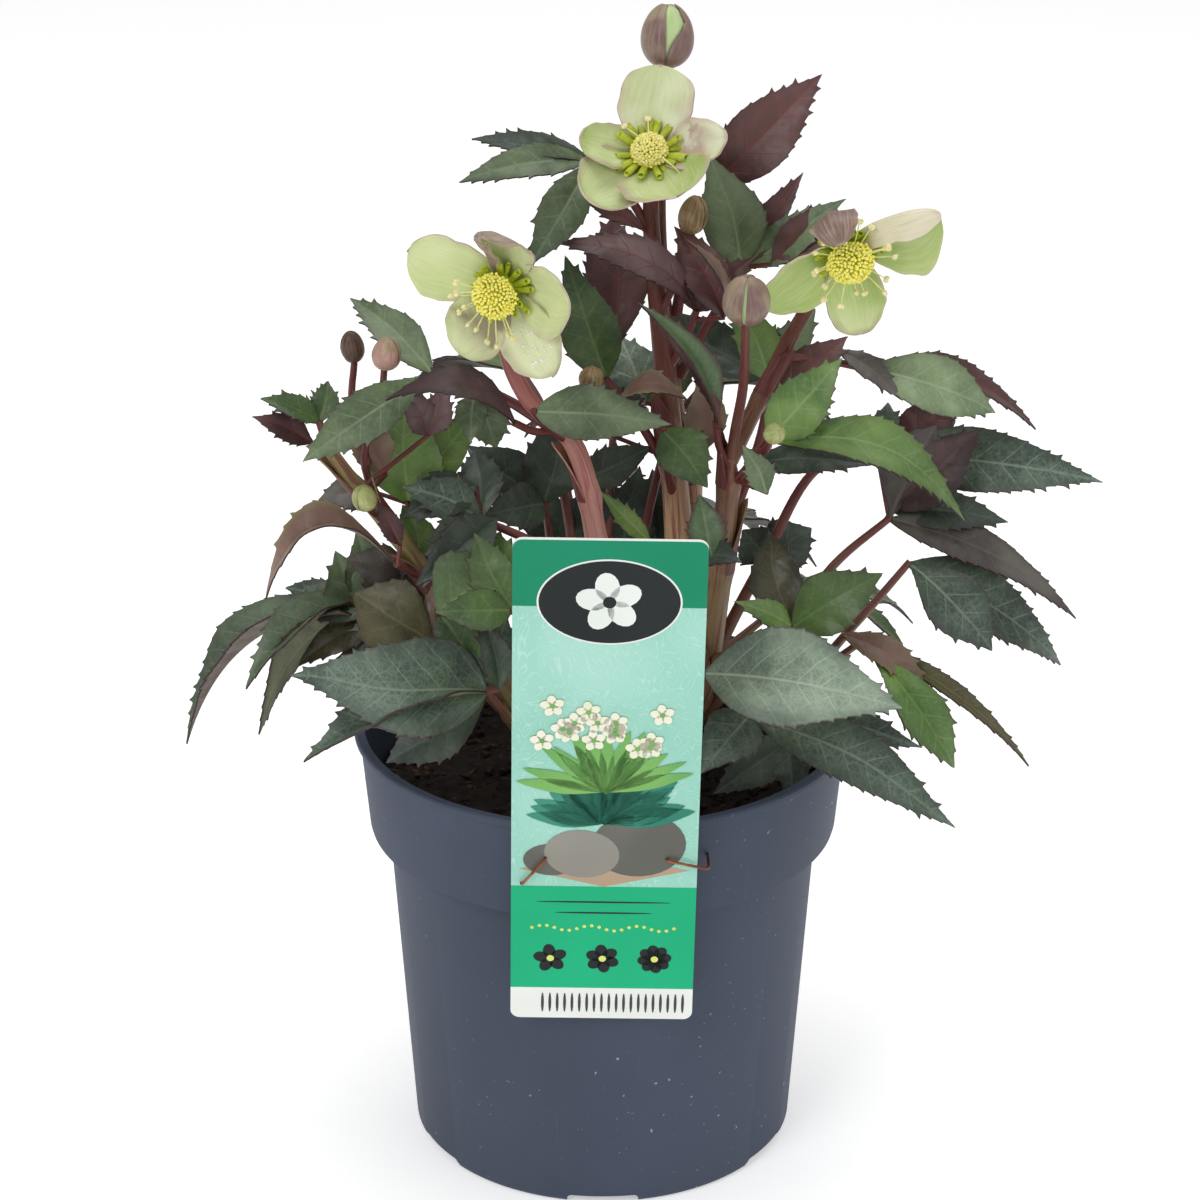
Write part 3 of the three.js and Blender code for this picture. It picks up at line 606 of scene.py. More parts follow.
class Face(Enum):
    """The finishes of a leaflet, each with its upper face and its back."""

    LEAF = (BladeFinish("blade_green", "6c7d5d", "48573f", "92a27e"), BACK_OLIVE)
    PALE = (BladeFinish("blade_pale", "97ac83", "6f825f", "bccaa6", 0.3), BACK_MAUVE)
    DROOPING = (
        BladeFinish("blade_drooping", "61725a", "434f3e", "8a997b", 0.3, 0.5, 0.3, warm_share=0.15),
        BACK_MAUVE)
    DEEP = (
        BladeFinish("blade_deep", "536a3f", "344a2c", "83995f", 0.2, 0.4, 0.2,
                    warm="5f8434", warm_share=0.4, tip_light=0.85),
        BACK_DARK)
    DARK = (BladeFinish("blade_dark", "48544a", "2f3a33", "6d7c6f", warm_share=0.2), BACK_DARK)
    SILVER = (
        BladeFinish("blade_silver", "98ab95", "66796a", "d0dcc8", 0.55, 0.65, 0.4, warm_share=0.12),
        BACK_OLIVE)
    # A darker copy of the silver face: painted shade for the netted leaves that turn away from the light.
    NETTED = (
        BladeFinish("blade_silver_shaded", "566659", "37453d", "95a890", 0.55, 0.6, 0.35, warm_share=0.2),
        BACK_OLIVE)
    BRIGHT = (
        BladeFinish("blade_bright", "7b9856", "54733d", "a5ba80", 0.2,
                    warm="74a23a", warm_share=0.45, tip_light=0.86),
        BACK_OLIVE)
    LIME = (BladeFinish("blade_lime", "7f9c50", "5f8142", "adbf7e", 0.2, warm="7fa83a"), BACK_OLIVE)
    EDGED = (
        BladeFinish("blade_edged", "5c7552", "465a42", "8a9a72", 0.2, 0.5, 0.2, "4c2b2e", 0.8),
        BACK_MAUVE)
    PURPLE = (
        BladeFinish("blade_purple", "6b4e4b", "483231", "7c3838", 0.2, 0.6, 0.55, "3a2526", 0.3, "4a2c2a"),
        BACK_MAUVE)
    MAUVE = (
        BladeFinish("blade_mauve", "7b6664", "5d4a4a", "6f3236", 0.2, 0.6, 0.65, "412a2c", 0.35, "6b3f42"),
        BACK_MAUVE)
    BROWN = (
        BladeFinish("blade_brown", "8d776a", "6b544b", "96604f", 0.2, 0.5, 0.3, "7d7a50", 0.45, "7f6a4c"),
        BACK_MAUVE)
    KHAKI = (
        BladeFinish("blade_khaki", "6f6a4c", "494631", "908a62", 0.2, 0.5, 0.25, "3f3a2e", 0.3, "8c8a52"),
        BACK_OLIVE)
    OLIVE = (
        BladeFinish("blade_olive", "403e2b", "201f17", "6f6b4c", 0.2, 0.4, 0.2, "2a241c", 0.5, "66643a"),
        BACK_DARK)
    PLUM = (
        BladeFinish("blade_plum", "5a4a4b", "3d3032", "6e3c3c", 0.2, 0.5, 0.3, "342526", 0.4, "4c3c3a"),
        BladeFinish("blade_back_plum", "51484a", "393033", "6c5a58", 0.15, 0.5, 0.25, "342526", 0.3))
    GREYED = (
        BladeFinish("blade_greyed", "6a6962", "4a4743", "7a6862", 0.25, 0.5, 0.4, "4b3838", 0.4, "6b6450"),
        BACK_MAUVE)

    @property
    def materials(self) -> tuple[bpy.types.Material, ...]:
        """The upper face, the back and the rim."""
        upper, back = self.value
        return upper.material(), back.material(), RIM.material()


@dataclass(frozen=True)
class SepalFinish(Finish):
    """One face of a sepal: green ground, fine lengthwise veins, and a pink-brown flush at its edges."""

    ground: str
    deep: str
    flush: str = "a58b7c"
    flush_share: float = 0.75
    pale: str = "e9e8c8"
    vein: str = "a3b56f"
    throat: str = "a9c24a"
    rim: str = "dccdb4"
    streak: float = 0.18
    rim_share: float = 0.4
    patchy: float = 1.0              # how much smaller its patches are than on an open sepal
    hold: float = 1.5                # the blush above which the whole face is flushed

    def make(self) -> bpy.types.Material:
        """Lays down the nodes of the material.

        Returns:
            The material.
        """
        recipe = Recipe(self.name, 0.38, 0.4)
        here = recipe.place()
        streaked = recipe.place((1.4, 17, 1), "grain")
        share = recipe.place(source="share")
        along = recipe.axis(share, "X")
        outwards = recipe.axis(share, "Y")
        blush = recipe.axis(share, "Z")
        streaks = recipe.noise(streaked, 1.0, 4, 0.3)
        clouds = recipe.noise(here, 70 * self.patchy, 4, 0.5)
        broad = recipe.noise(here, 28 * self.patchy, 2)
        recipe.coat(recipe.ease(broad, 0.38, 0.62), self.ground, self.deep)
        recipe.coat(recipe.ease(streaks, 0.45, 0.68, 0, self.streak), self.pale)
        recipe.coat(recipe.ease(streaks, 0.5, 0.28, 0, self.streak), self.vein)
        recipe.coat(recipe.ease(along, 0.42, 0.0, 0, 0.6), self.throat)
        edge = recipe.times(recipe.ease(outwards, 0.6, 1.0), recipe.ease(broad, 0.42, 0.6))
        inner = recipe.times(recipe.ease(along, 0.95, 0.45), blush)
        patch = recipe.times(recipe.ease(clouds, 0.4, 0.6), inner)
        patch = recipe.maths("MAXIMUM", patch, recipe.maths("SUBTRACT", blush, self.hold))
        flushed = recipe.maths("MAXIMUM", recipe.times(edge, 0.55), patch)
        flushed = recipe.times(recipe.maths("MINIMUM", flushed, 1.0), self.flush_share)
        recipe.coat(flushed, self.flush)
        recipe.coat(recipe.ease(outwards, 0.88, 1.0, 0, self.rim_share), self.rim)
        recipe.paint(recipe.ease(streaks, 0.35, 0.65, 0.33, 0.45))
        recipe.skin.inputs["Subsurface Weight"].default_value = 0.15
        recipe.skin.inputs["Subsurface Radius"].default_value = (0.0015, 0.0018, 0.0008)
        relief = recipe.plus(streaks, recipe.times(recipe.noise(here, 700, 2), 0.3))
        return recipe.emboss(relief, 0.12, 0.7)


SEPAL_PALE = SepalFinish("sepal_pale", "e4e9bc", "cfdc9a", "8a7264")
SEPAL_MID = SepalFinish(
    "sepal_mid", "c3cf92", "a3b86a", "937a70", 0.85, rim="bfa690", rim_share=0.6, patchy=1.5)
SEPAL_PINKED = SepalFinish(
    "sepal_pinked", "dfe2c2", "cad4a0", "b3948a", 0.8, rim="d6bdb0", rim_share=0.65, patchy=1.5)
SEPAL_FRESH = SepalFinish("sepal_fresh", "ced99e", "b0c573", "93786c", 0.85)
SEPAL_BACK = SepalFinish(
    "sepal_back", "c4bba0", "a8a080", "765350", 0.95, vein="8f7f6a", throat="9db04f", hold=1.0)
SEPAL_FOLD = SepalFinish(
    "sepal_fold", "f0e6d2", "dcd6b6", "b0907f", 0.8, "efe8d6", "a58f80", "b9c184", "e6d6c6")
SEPAL_DUSKY = SepalFinish(
    "sepal_dusky", "a39180", "836a60", "6b4c48", 0.9, "c0ae9a", "6e5650", "8f9a4e", "c9b6a2", 0.4)
BUD_MAUVE = SepalFinish(
    "bud_mauve", "9c8a74", "7d625d", "6b4a4c", 0.8, "b8a890", "6b5450", "83383c", "85685f", 0.35, patchy=4)
BUD_ROSY = SepalFinish(
    "bud_rosy", "b58f82", "8f8462", "8a5a58", 0.7, "cdb29c", "8f6a5e", "9a9a60", "8a6258", 0.4, patchy=5)
BUD_DRY = SepalFinish(
    "bud_dry", "6d5244", "4a372f", "33241f", 0.7, "8a6c55", "3c2b25", "5f4438", "4a352c", 0.5, patchy=4)
BUD_TAN = SepalFinish(
    "bud_tan", "a98a62", "86704a", "5f3d34", 0.8, "c4a982", "5c3a32", "8d8a4a", "6d4b3a", 0.5, patchy=4)
BUD_OLIVE = SepalFinish(
    "bud_olive", "b3bb7c", "989f5e", "8a6250", 0.7, "ccd2a0", "7f8a4c", "94a24a", "9c8a6a", 0.35, patchy=4)
BUD_HEART = SepalFinish(
    "bud_heart", "b9cf94", "a4bf7c", "a8bd8c", 0.2, "d2deb6", "93b06a", "8fae5e", "b9cf94", 0.25)


@dataclass(frozen=True)
class PlainFinish(Finish):
    """A small soft part in two colours, mottled at its own scale, with a fine grain."""

    light: str
    dark: str
    scale: float = 400
    roughness: float = 0.5
    relief: float = 0.08

    def make(self) -> bpy.types.Material:
        """Lays down the nodes of the material.

        Returns:
            The material.
        """
        recipe = Recipe(self.name, self.roughness)
        here = recipe.place()
        mottle = recipe.noise(here, self.scale, 4)
        recipe.coat(recipe.ease(mottle, 0.35, 0.65), self.light, self.dark)
        recipe.paint()
        return recipe.emboss(recipe.noise(here, self.scale * 3, 3), self.relief, 0.7)


NECTARY = PlainFinish("nectary_green", "e6ea50", "c3ce30", 260, 0.32)
NECTARY_MOUTH = PlainFinish("nectary_mouth", "b4be2a", "98a520", 300, 0.4)
ANTHER = PlainFinish("anther_yellow", "fffa8e", "faef5e", 900, 0.5)
ANTHER_PALE = PlainFinish("anther_cream", "f8f2a2", "e8dc72", 900, 0.55)
COLUMN = PlainFinish("stamen_column", "f4f060", "dcdc44", 420, 0.4)
# Drops of water painted white: painted glints of light.
DEW_PAINTED_GLINTS = PlainFinish("dew_painted_glints", "ffffff", "f2f6e2", 900, 0.05, 0.0)
ANTHER_SPENT = PlainFinish("anther_spent", "f6f0c4", "ebdc8c", 900, 0.65)
FILAMENT = PlainFinish("filament", "e6e8a4", "cfd87a", 500, 0.45)
CUT_FACE = PlainFinish("stalk_cut_face", "c9b68c", "9a7f58", 900, 0.8)


@dataclass(frozen=True)
class StemFinish(Finish):
    """Stem skin: streaked along its length, tan and green low down and red-brown towards the blooms."""

    low: str
    high: str
    streak: str
    turn_height: float = 185
    streaks: float = 13              # streaks for each centimetre round it

    def make(self) -> bpy.types.Material:
        """Lays down the nodes of the material.

        Returns:
            The material.
        """
        recipe = Recipe(self.name, 0.42, 0.5)
        here = recipe.place()
        fibres = recipe.noise(recipe.place((0.5, self.streaks, self.streaks), "grain"), 1.0, 4, 0.3)
        fine = recipe.noise(recipe.place((1.5, 46, 46), "grain"), 1.0, 2)
        clouds = recipe.noise(here, 55, 4)
        height = recipe.plus(recipe.axis(here, "Z"), recipe.times(clouds, 0.05))
        turn = self.turn_height * MM + 0.025
        upper = recipe.ease(height, turn - 0.045, turn + 0.035)
        recipe.coat(upper, self.high, self.low)
        recipe.coat(recipe.ease(fibres, 0.48, 0.66, 0, 0.75), self.streak)
        # Pale fine streaks along the fibres: painted highlights.
        recipe.coat(recipe.ease(fine, 0.5, 0.7, 0, 0.12), "c2a07c")
        recipe.coat(recipe.ease(clouds, 0.62, 0.75, 0, 0.35), "7d8a4e")
        recipe.paint(recipe.ease(fibres, 0.3, 0.7, 0.36, 0.52))
        relief = recipe.plus(recipe.times(fibres, 0.7), recipe.times(fine, 0.3))
        return recipe.emboss(relief, 0.3, 0.7)


STEM_RUST = StemFinish("stem_rust", "cfa980", "5a2a1f", "74302a", 202)
STEM_PINK = StemFinish("stem_pink", "c69a8c", "a5655a", "974a55", 200)
STEM_OLIVE = StemFinish("stem_olive", "8a7452", "632c2a", "74342f", 205)
STEM_STRIPED = StemFinish("stem_striped", "8f8250", "7f7444", "6a2229", 205, 6)
LEAF_STALK = StemFinish("leaf_stalk_skin", "7c5f46", "652b2a", "5c2228", 165)
SHEATH_FACE = StemFinish("sheath_face", "8c8a58", "7a4437", "6f302e", 205, 6)


@dataclass(frozen=True)
class PotFinish(Finish):
    """Blue-grey moulded plastic, dull, with specks of dust and faint upright drag marks."""

    name: str = "pot_plastic"

    def make(self) -> bpy.types.Material:
        """Lays down the nodes of the material.

        Returns:
            The material.
        """
        recipe = Recipe(self.name, 0.6, 0.14)
        here = recipe.place()
        cloud = recipe.noise(here, 14, 5)
        specks = recipe.noise(here, 620, 2)
        dusty = recipe.noise(here, 9, 2)
        drags = recipe.noise(recipe.place((420, 420, 22)), 1.0, 3)
        grain = recipe.noise(here, 2600, 2)
        recipe.coat(recipe.ease(cloud, 0.3, 0.7), "495162", "414958")
        dust = recipe.times(recipe.ease(specks, 0.7, 0.78), recipe.ease(dusty, 0.4, 0.6, 0.15, 0.7))
        recipe.coat(dust, "b4b8c0")
        recipe.coat(recipe.ease(drags, 0.7, 0.82, 0, 0.06), "9a9ea8")
        recipe.paint(recipe.ease(cloud, 0.25, 0.75, 0.52, 0.64))
        height = recipe.plus(recipe.times(grain, 0.6), recipe.times(specks, 0.4))
        return recipe.emboss(height, 0.06, 0.5)


@dataclass(frozen=True)
class SoilFinish(Finish):
    """Moist peat: near black, with brown crumbs and a few pale grains."""

    dark: str = "1a1512"
    brown: str = "2a201a"

    def make(self) -> bpy.types.Material:
        """Lays down the nodes of the material.

        Returns:
            The material.
        """
        recipe = Recipe(self.name, 0.92, 0.25)
        here = recipe.place()
        crumbs = recipe.noise(here, 420, 6)
        clods = recipe.noise(here, 90, 3)
        pale = recipe.noise(here, 1300, 2)
        recipe.coat(recipe.ease(crumbs, 0.4, 0.65), self.brown, self.dark)
        recipe.coat(recipe.ease(pale, 0.7, 0.78, 0, 0.35), "8a7a66")
        recipe.coat(recipe.ease(clods, 0.4, 0.7, 0, 0.5), "120e0c")
        recipe.paint()
        return recipe.emboss(recipe.plus(crumbs, clods), 0.9, 0.9)


@dataclass(frozen=True)
class PrintFinish(Finish):
    """Glossy coated card in one printed colour that varies a little, with a faint print grain."""

    ink: str
    second: str
    lines: float = 0                 # how strong the pale curling lines on it are

    def make(self) -> bpy.types.Material:
        """Lays down the nodes of the material.

        Returns:
            The material.
        """
        recipe = Recipe(self.name, 0.35, 0.2)
        here = recipe.place()
        wash = recipe.noise(here, 24, 2)
        recipe.coat(recipe.ease(wash, 0.35, 0.65), self.second, self.ink)
        if self.lines:
            swirl = recipe.noise(here, 60, 2, 1.5)
            rings = recipe.maths("PINGPONG", recipe.times(swirl, 16.0), 0.5)
            recipe.coat(recipe.ease(rings, 0.03, 0.09, self.lines, 0), "cfeae2")
        recipe.paint()
        return recipe.emboss(recipe.noise(here, 500, 2), 0.02, 0.3)


@dataclass(frozen=True)
class WireFinish(Finish):
    """Copper-washed staple wire, drawn lengthwise and dulled in places."""

    name: str = "staple_copper"

    def make(self) -> bpy.types.Material:
        """Lays down the nodes of the material.

        Returns:
            The material.
        """
        recipe = Recipe(self.name, 0.32, 0.5)
        recipe.skin.inputs["Metallic"].default_value = 0.9
        drawn = recipe.noise(recipe.place((2, 60, 60), "grain"), 1.0, 3)
        dull = recipe.noise(recipe.place(), 300, 3)
        recipe.coat(recipe.ease(dull, 0.4, 0.7), "7d4a36", "a86a48")
        recipe.paint(recipe.ease(dull, 0.4, 0.7, 0.28, 0.5))
        return recipe.emboss(drawn, 0.03, 0.6)


# ---------------------------------------------------------------- pot and soil
@dataclass
class Pot:
    """The nursery pot: rolled rim, tall collar, tapered wall, raised floor, notched foot."""

    rim_radius: float = 70
    height: float = 125.7
    collar_height: float = 30.4
    collar_top: float = 68.5         # radius just under the rim
    collar_foot: float = 66.1        # radius at the collar's lower edge
    body_top: float = 60.8           # radius of the wall under the collar
    base_radius: float = 54.5
    wall: float = 1.4
    floor: float = 2.6               # height of the underside
    floor_thickness: float = 1.8
    foot: float = 8                  # width of the ring that it stands on
    disc: float = 16                 # radius of the flat that it stands on in the middle
    hole_radius: float = 4
    around: int = 6                  # foot notches, and drain holes between them
    notch_width: float = 20
    notch_bevel: float = 1.2
    lip: float = 2                   # height of the rolled rim
    sides: int = 168

    @property
    def shoulder(self) -> float:
        """The height of the collar's lower edge."""
        return self.height - self.collar_height

    def body_radius(self, z: float) -> float:
        """The outer radius of the tapered wall at a height."""
        return self.base_radius + (self.body_top - self.base_radius) * z / self.shoulder

    def profile(self) -> list[tuple[float, float]]:
        """The outline of the wall's section.

        Returns:
            Radius and height of each ring, from the middle of the underside round to the inner floor.
        """
        base, body, rim, wall = self.base_radius, self.body_top, self.rim_radius, self.wall
        low, high, shoulder = self.collar_foot, self.collar_top, self.shoulder
        inner_floor = self.floor + self.floor_thickness
        lip = self.height - self.lip
        return [
            (self.disc, 0), (self.disc + 2, self.floor), (base - self.foot - 1, self.floor),
            (base - self.foot, 0), (base - 2, 0), (base - 0.7, 0.5), (self.body_radius(2), 2),
            (body - 0.2, shoulder - 2.6), (body + 0.1, shoulder - 1.5), (body + 0.9, shoulder - 0.8),
            (low - 1.2, shoulder), (low - 0.3, shoulder + 0.5), (low, shoulder + 1.6),
            (high - 0.2, lip - 2.2), (high, lip - 1), (rim - 0.6, lip - 0.4), (rim, lip + 0.2),
            (rim, lip + 1.4), (rim - 0.4, lip + 1.9), (rim - 1.1, lip + 2), (high - wall, lip + 1.7),
            (high - wall - 0.2, lip + 0.6), (low - wall, shoulder + 2.8), (body - wall, shoulder - 0.4),
            (self.body_radius(inner_floor) - wall, inner_floor), (self.disc, inner_floor),
        ]

    def turned_wall(self) -> Piece:
        """The wall: a disc whose edge is extruded and resized ring by ring along the profile.

        Returns:
            The wall with its floor.
        """
        rings = self.profile()
        wall = added(bpy.ops.mesh.primitive_circle_add, vertices=self.sides, radius=self.disc * MM,
                     fill_type="TRIFAN")
        edge = np.array([vertex.co.length > MM for vertex in wall.data.vertices])
        bpy.ops.object.mode_set(mode="EDIT")
        bpy.ops.mesh.select_all(action="DESELECT")
        bpy.ops.object.mode_set(mode="OBJECT")
        wall.data.vertices.foreach_set("select", edge)
        for line in wall.data.edges:
            line.select = all(edge[i] for i in line.vertices)
        bpy.ops.object.mode_set(mode="EDIT")
        bpy.ops.mesh.select_mode(type="EDGE")
        for (radius, z), (next_radius, next_z) in zip(rings, rings[1:]):
            grow = next_radius / radius
            bpy.ops.mesh.extrude_region_move(
                TRANSFORM_OT_translate={"value": (0, 0, (next_z - z) * MM)})
            bpy.ops.transform.resize(value=(grow, grow, 1), center_override=(0, 0, next_z * MM))
        bpy.ops.mesh.edge_face_add()
        bpy.ops.mesh.select_all(action="SELECT")
        bpy.ops.mesh.normals_make_consistent(inside=False)
        bpy.ops.object.mode_set(mode="OBJECT")
        return wall

    def cutters(self) -> Piece:
        """What the foot notches and the drain holes take away.

        Returns:
            The cutters as one piece.
        """
        parts = []
        ring = (self.base_radius - self.foot / 2 + 1) * MM
        middle = ((self.base_radius - self.foot + self.disc) / 2 + 2) * MM
        sizes = (self.notch_width * MM, (self.foot + 6) * MM, 2 * self.floor * MM, 1)
        for i in range(self.around):
            turn = math.radians(360 / self.around * i)
            half_turn = math.radians(180 / self.around)
            notch = added(bpy.ops.mesh.primitive_cube_add, size=1)
            notch.data.transform(Matrix.Rotation(turn, 4, "Z") @ Matrix.Translation((0, -ring, 0))
                                 @ Matrix.Diagonal(sizes))
            apply_modifier(notch, "BEVEL", width=self.notch_bevel * MM, segments=3)
            hole = added(bpy.ops.mesh.primitive_cylinder_add, vertices=32, radius=self.hole_radius * MM,
                         depth=12 * MM)
            hole.data.transform(Matrix.Rotation(turn + half_turn, 4, "Z")
                                @ Matrix.Translation((middle, 0, 3 * MM)))
            parts += [notch, hole]
        return join("cutters", parts)

    def build(self) -> Piece:
        """The wall with its notches and drain holes.

        Returns:
            The finished pot.
        """
        wall = self.turned_wall()
        cutters = self.cutters()
        apply_modifier(wall, "BOOLEAN", operation="DIFFERENCE", object=cutters, solver="EXACT")
        bpy.data.objects.remove(cutters)
        wall.name = "pot_moulding"
        dress(wall, PotFinish().material())
        smooth(wall, 38)
        return settle(wall, "pot", "pot")


@dataclass
class Soil:
    """The potting soil: a rough top with crumbs and fibres, and plain sides against the pot."""

    pot: Pot
    top: float = 108
    gap: float = 0.3                 # between the soil and the pot
    rings: int = 60
    sides: int = 150
    waves: int = 26
    crumbs: int = 720

    def body(self, draw: np.random.Generator) -> Piece:
        """The soil itself, closed all round.

        Args:
            draw: the random draws of the soil.

        Returns:
            The soil.
        """
        pot, shoulder = self.pot, self.pot.shoulder
        clear = pot.wall + self.gap
        outer = pot.collar_foot - clear - 0.2
        knots = np.array([(0, self.top), (outer - 4, self.top), (outer, self.top - 1.5),
                          (outer - 0.6, shoulder + 3.2), (pot.body_top - clear, shoulder - 0.2),
                          (pot.base_radius - clear, 6.0), (0, 6.0)])
        shares = np.array([0, 0.72, 0.76, 0.82, 0.88, 0.96, 1])
        piece, along, around = grid("soil_peat", self.rings, self.sides)
        radius = np.interp(along, shares, knots[:, 0])
        height = np.interp(along, shares, knots[:, 1])
        angle = -2 * np.pi * around
        x, y = radius * np.cos(angle), radius * np.sin(angle)
        waves = draw.uniform(0.05, 0.5, (self.waves, 2)) * draw.choice([-1, 1], (self.waves, 2))
        phases = draw.uniform(0, 6.3, self.waves)
        rough = sum(np.sin(a * x + b * y + p) for (a, b), p in zip(waves, phases)) / 7
        height += np.where(along < 0.74, rough * np.clip((0.76 - along) * 14, 0, 1), 0)
        write_points(piece, columns(x, y, height))
        merge_seams(piece)
        smooth(piece, 80)
        return dress(piece, SoilFinish("soil_peat").material())

    def scatter(self, draw: np.random.Generator) -> Piece:
        """Crumbs and bits of fibre that lie on the soil.

        Args:
            draw: the random draws of the soil.

        Returns:
            The crumbs as one piece.
        """
        crumb = added(bpy.ops.mesh.primitive_ico_sphere_add, subdivisions=1, radius=MM)
        places = []
        for _ in range(self.crumbs):
            reach = (self.pot.collar_foot - 5) * math.sqrt(draw.uniform(0.02, 1))
            turn = draw.uniform(0, 2 * math.pi)
            long = draw.uniform(1.2, 4.2) if draw.random() < 0.18 else 1.0
            size = draw.uniform(0.5, 1.9) / math.sqrt(long)
            spin = Matrix.Rotation(draw.uniform(0, 6.3), 4, "Z")
            tilt = Matrix.Rotation(draw.uniform(-0.4, 0.4), 4, "Y")
            spot = (reach * math.cos(turn) * MM, reach * math.sin(turn) * MM, (self.top + 0.3) * MM)
            wide, tall = draw.uniform(0.6, 1), draw.uniform(0.5, 0.9)
            shape = Matrix.Diagonal((size * long, size * wide, size * tall, 1))
            places.append(Matrix.Translation(spot) @ (spin @ tilt) @ shape)
        made = copies("soil_crumbs", crumb, places)
        smooth(made, 40)
        return dress(made, SoilFinish("soil_crumbs", "201914", "4a382b").material())

    def build(self) -> None:
        """The soil and its crumbs."""
        draw = np.random.default_rng(SEED)
        settle(self.body(draw), "soil", "soil")
        settle(self.scatter(draw), "soil")


# ---------------------------------------------------------------- label and staples
class Corners(Enum):
    """Which corners of a field of the label are round."""

    ALL = (False, True)
    TOP = (True,)
    NONE = ()


@dataclass
class CareLabel:
    """The coated card label: coloured fields and simple motifs of its own on the front."""

    pot: Pot
    width: float = 49.3
    height: float = 149.2
    thickness: float = 0.55
    corner: float = 2.5
    foot_x: float = -0.45
    foot_z: float = 64.7
    lean: float = 7.4                # degrees that its top leans back
    turn: float = 0.94               # degrees that its top leans to the right
    gap: float = 0.3                 # between the rim and its back
    ink_step: float = 0.05           # each printed shape stands this much in front of the one below

    def face_y(self, z: float) -> float:
        """Y of the back of the label at a height."""
        behind = math.tan(math.radians(self.lean)) * (z - self.pot.height)
        return -(self.pot.rim_radius + self.gap) - behind

    @property
    def place(self) -> Matrix:
        """Where the label stands.

        Returns:
            What takes its own flat frame, x across, y up and z forwards, to its place.
        """
        return (
            Matrix.Translation((self.foot_x * MM, self.face_y(self.foot_z) * MM, self.foot_z * MM))
            @ Matrix.Rotation(math.radians(self.lean), 4, "X")
            @ Matrix.Rotation(math.radians(self.turn), 4, "Y")
            @ Matrix.Rotation(math.radians(90), 4, "X")
        )

    def card(self, low: float, high: float, corners: Corners, level: int, name: str, ink: Finish) -> Piece:
        """A field of the label across its whole width.

        Args:
            low: its lower edge above the label's foot.
            high: its upper edge.
            corners: which corners are round.
            level: how many ink steps it stands forward; 0 is the card itself.
            name: the piece's name.
            ink: its finish.

        Returns:
            The field.
        """
        field = added(bpy.ops.mesh.primitive_plane_add, size=1)
        middle = (low + high) / 2
        field.data.transform(Matrix.Translation((0, middle * MM, 0)) @ Matrix.Diagonal(
            (self.width * MM, (high - low) * MM, 1, 1)))
        bpy.ops.object.mode_set(mode="EDIT")
        bpy.ops.mesh.select_mode(type="VERT")
        bpy.ops.mesh.select_all(action="DESELECT")
        bpy.ops.object.mode_set(mode="OBJECT")
        for vertex in field.data.vertices:
            vertex.select = (vertex.co.y > middle * MM) in corners.value
        bpy.ops.object.mode_set(mode="EDIT")
        if corners is not Corners.NONE:
            bpy.ops.mesh.bevel(offset=self.corner * MM, segments=8, affect="VERTICES")
        bpy.ops.object.mode_set(mode="OBJECT")
        return self.raise_ink(field, level, name, ink)

    def raise_ink(self, shape: Piece, level: int, name: str, ink: Finish) -> Piece:
        """Gives a flat shape its thickness and sets it on its level of the label.

        Args:
            shape: a flat shape in the label's own frame.
            level: how many ink steps it stands forward; 0 is the card itself.
            name: the piece's name.
            ink: its finish.

        Returns:
            The shape as a thin closed body.
        """
        front = self.thickness + self.ink_step * level
        deep = self.thickness if level == 0 else self.ink_step * 0.9
        shape.data.transform(Matrix.Translation((0, 0, front * MM)))
        apply_modifier(shape, "SOLIDIFY", thickness=deep * MM, offset=-1.0)
        shape.name = name
        return dress(shape, ink.material())

    def spot(self, x: float, y: float, wide: float, tall: float, turn: float = 0, sides: int = 28,
             point: float = 0) -> Piece:
        """A flat oval or pointed leaf shape.

        Args:
            x: its middle across the label.
            y: its middle above the foot.
            wide: its width.
            tall: its height.
            turn: degrees that it leans to the left.
            sides: points round it.
            point: how far its two ends are drawn out, as a share of its height.

        Returns:
            The shape.
        """
        shape = added(bpy.ops.mesh.primitive_circle_add, vertices=sides, radius=0.5, fill_type="NGON")
        for vertex in shape.data.vertices:
            vertex.co.y += point * math.copysign(abs(2 * vertex.co.y) ** 6, vertex.co.y) / 2
            vertex.co.x *= 1 - point * abs(2 * vertex.co.y) ** 2 / 2
        shape.data.transform(
            Matrix.Translation((x * MM, y * MM, 0)) @ Matrix.Rotation(math.radians(turn), 4, "Z")
            @ Matrix.Diagonal((wide * MM, tall * MM, 1, 1)))
        return shape

    def flower(self, x: float, y: float, size: float, petals: int = 5) -> list[Piece]:
        """The petals of a simple round flower.

        Args:
            x: its middle across the label.
            y: its middle above the foot.
            size: how wide it is.
            petals: how many it has.

        Returns:
            The petals.
        """
        made = []
        for i in range(petals):
            turn = 360 / petals * i + 8
            way = math.radians(turn + 90)
            made.append(self.spot(x + 0.3 * size * math.cos(way), y + 0.3 * size * math.sin(way),
                                  0.42 * size, 0.56 * size, turn, 16))
        return made

    def ink(self, name: str, level: int, finish: Finish, shapes: Sequence[Piece]) -> Piece:
        """Flat shapes printed in one colour."""
        return self.raise_ink(join(name, shapes), level, name, finish)

    def garden(self) -> list[Piece]:
        """The picture in the middle: stones on sand, two fans of leaves and a cloud of flowers.

        Returns:
            Its pieces, one for each colour and level.
        """
        draw = np.random.default_rng(SEED + 3)
        sand = PrintFinish("print_sand", "b39a80", "c4ae96")
        stone = PrintFinish("print_stone", "62625c", "807e76")
        pale_stone = PrintFinish("print_pale_stone", "8d8b82", "a09d93")
        teal = PrintFinish("print_teal", "2c7f6a", "4b9c84")
        sprig = PrintFinish("print_sprig", "6aa95a", "8fc06c")
        cream = PrintFinish("print_cream", "f1efdc", "e3e8c0")

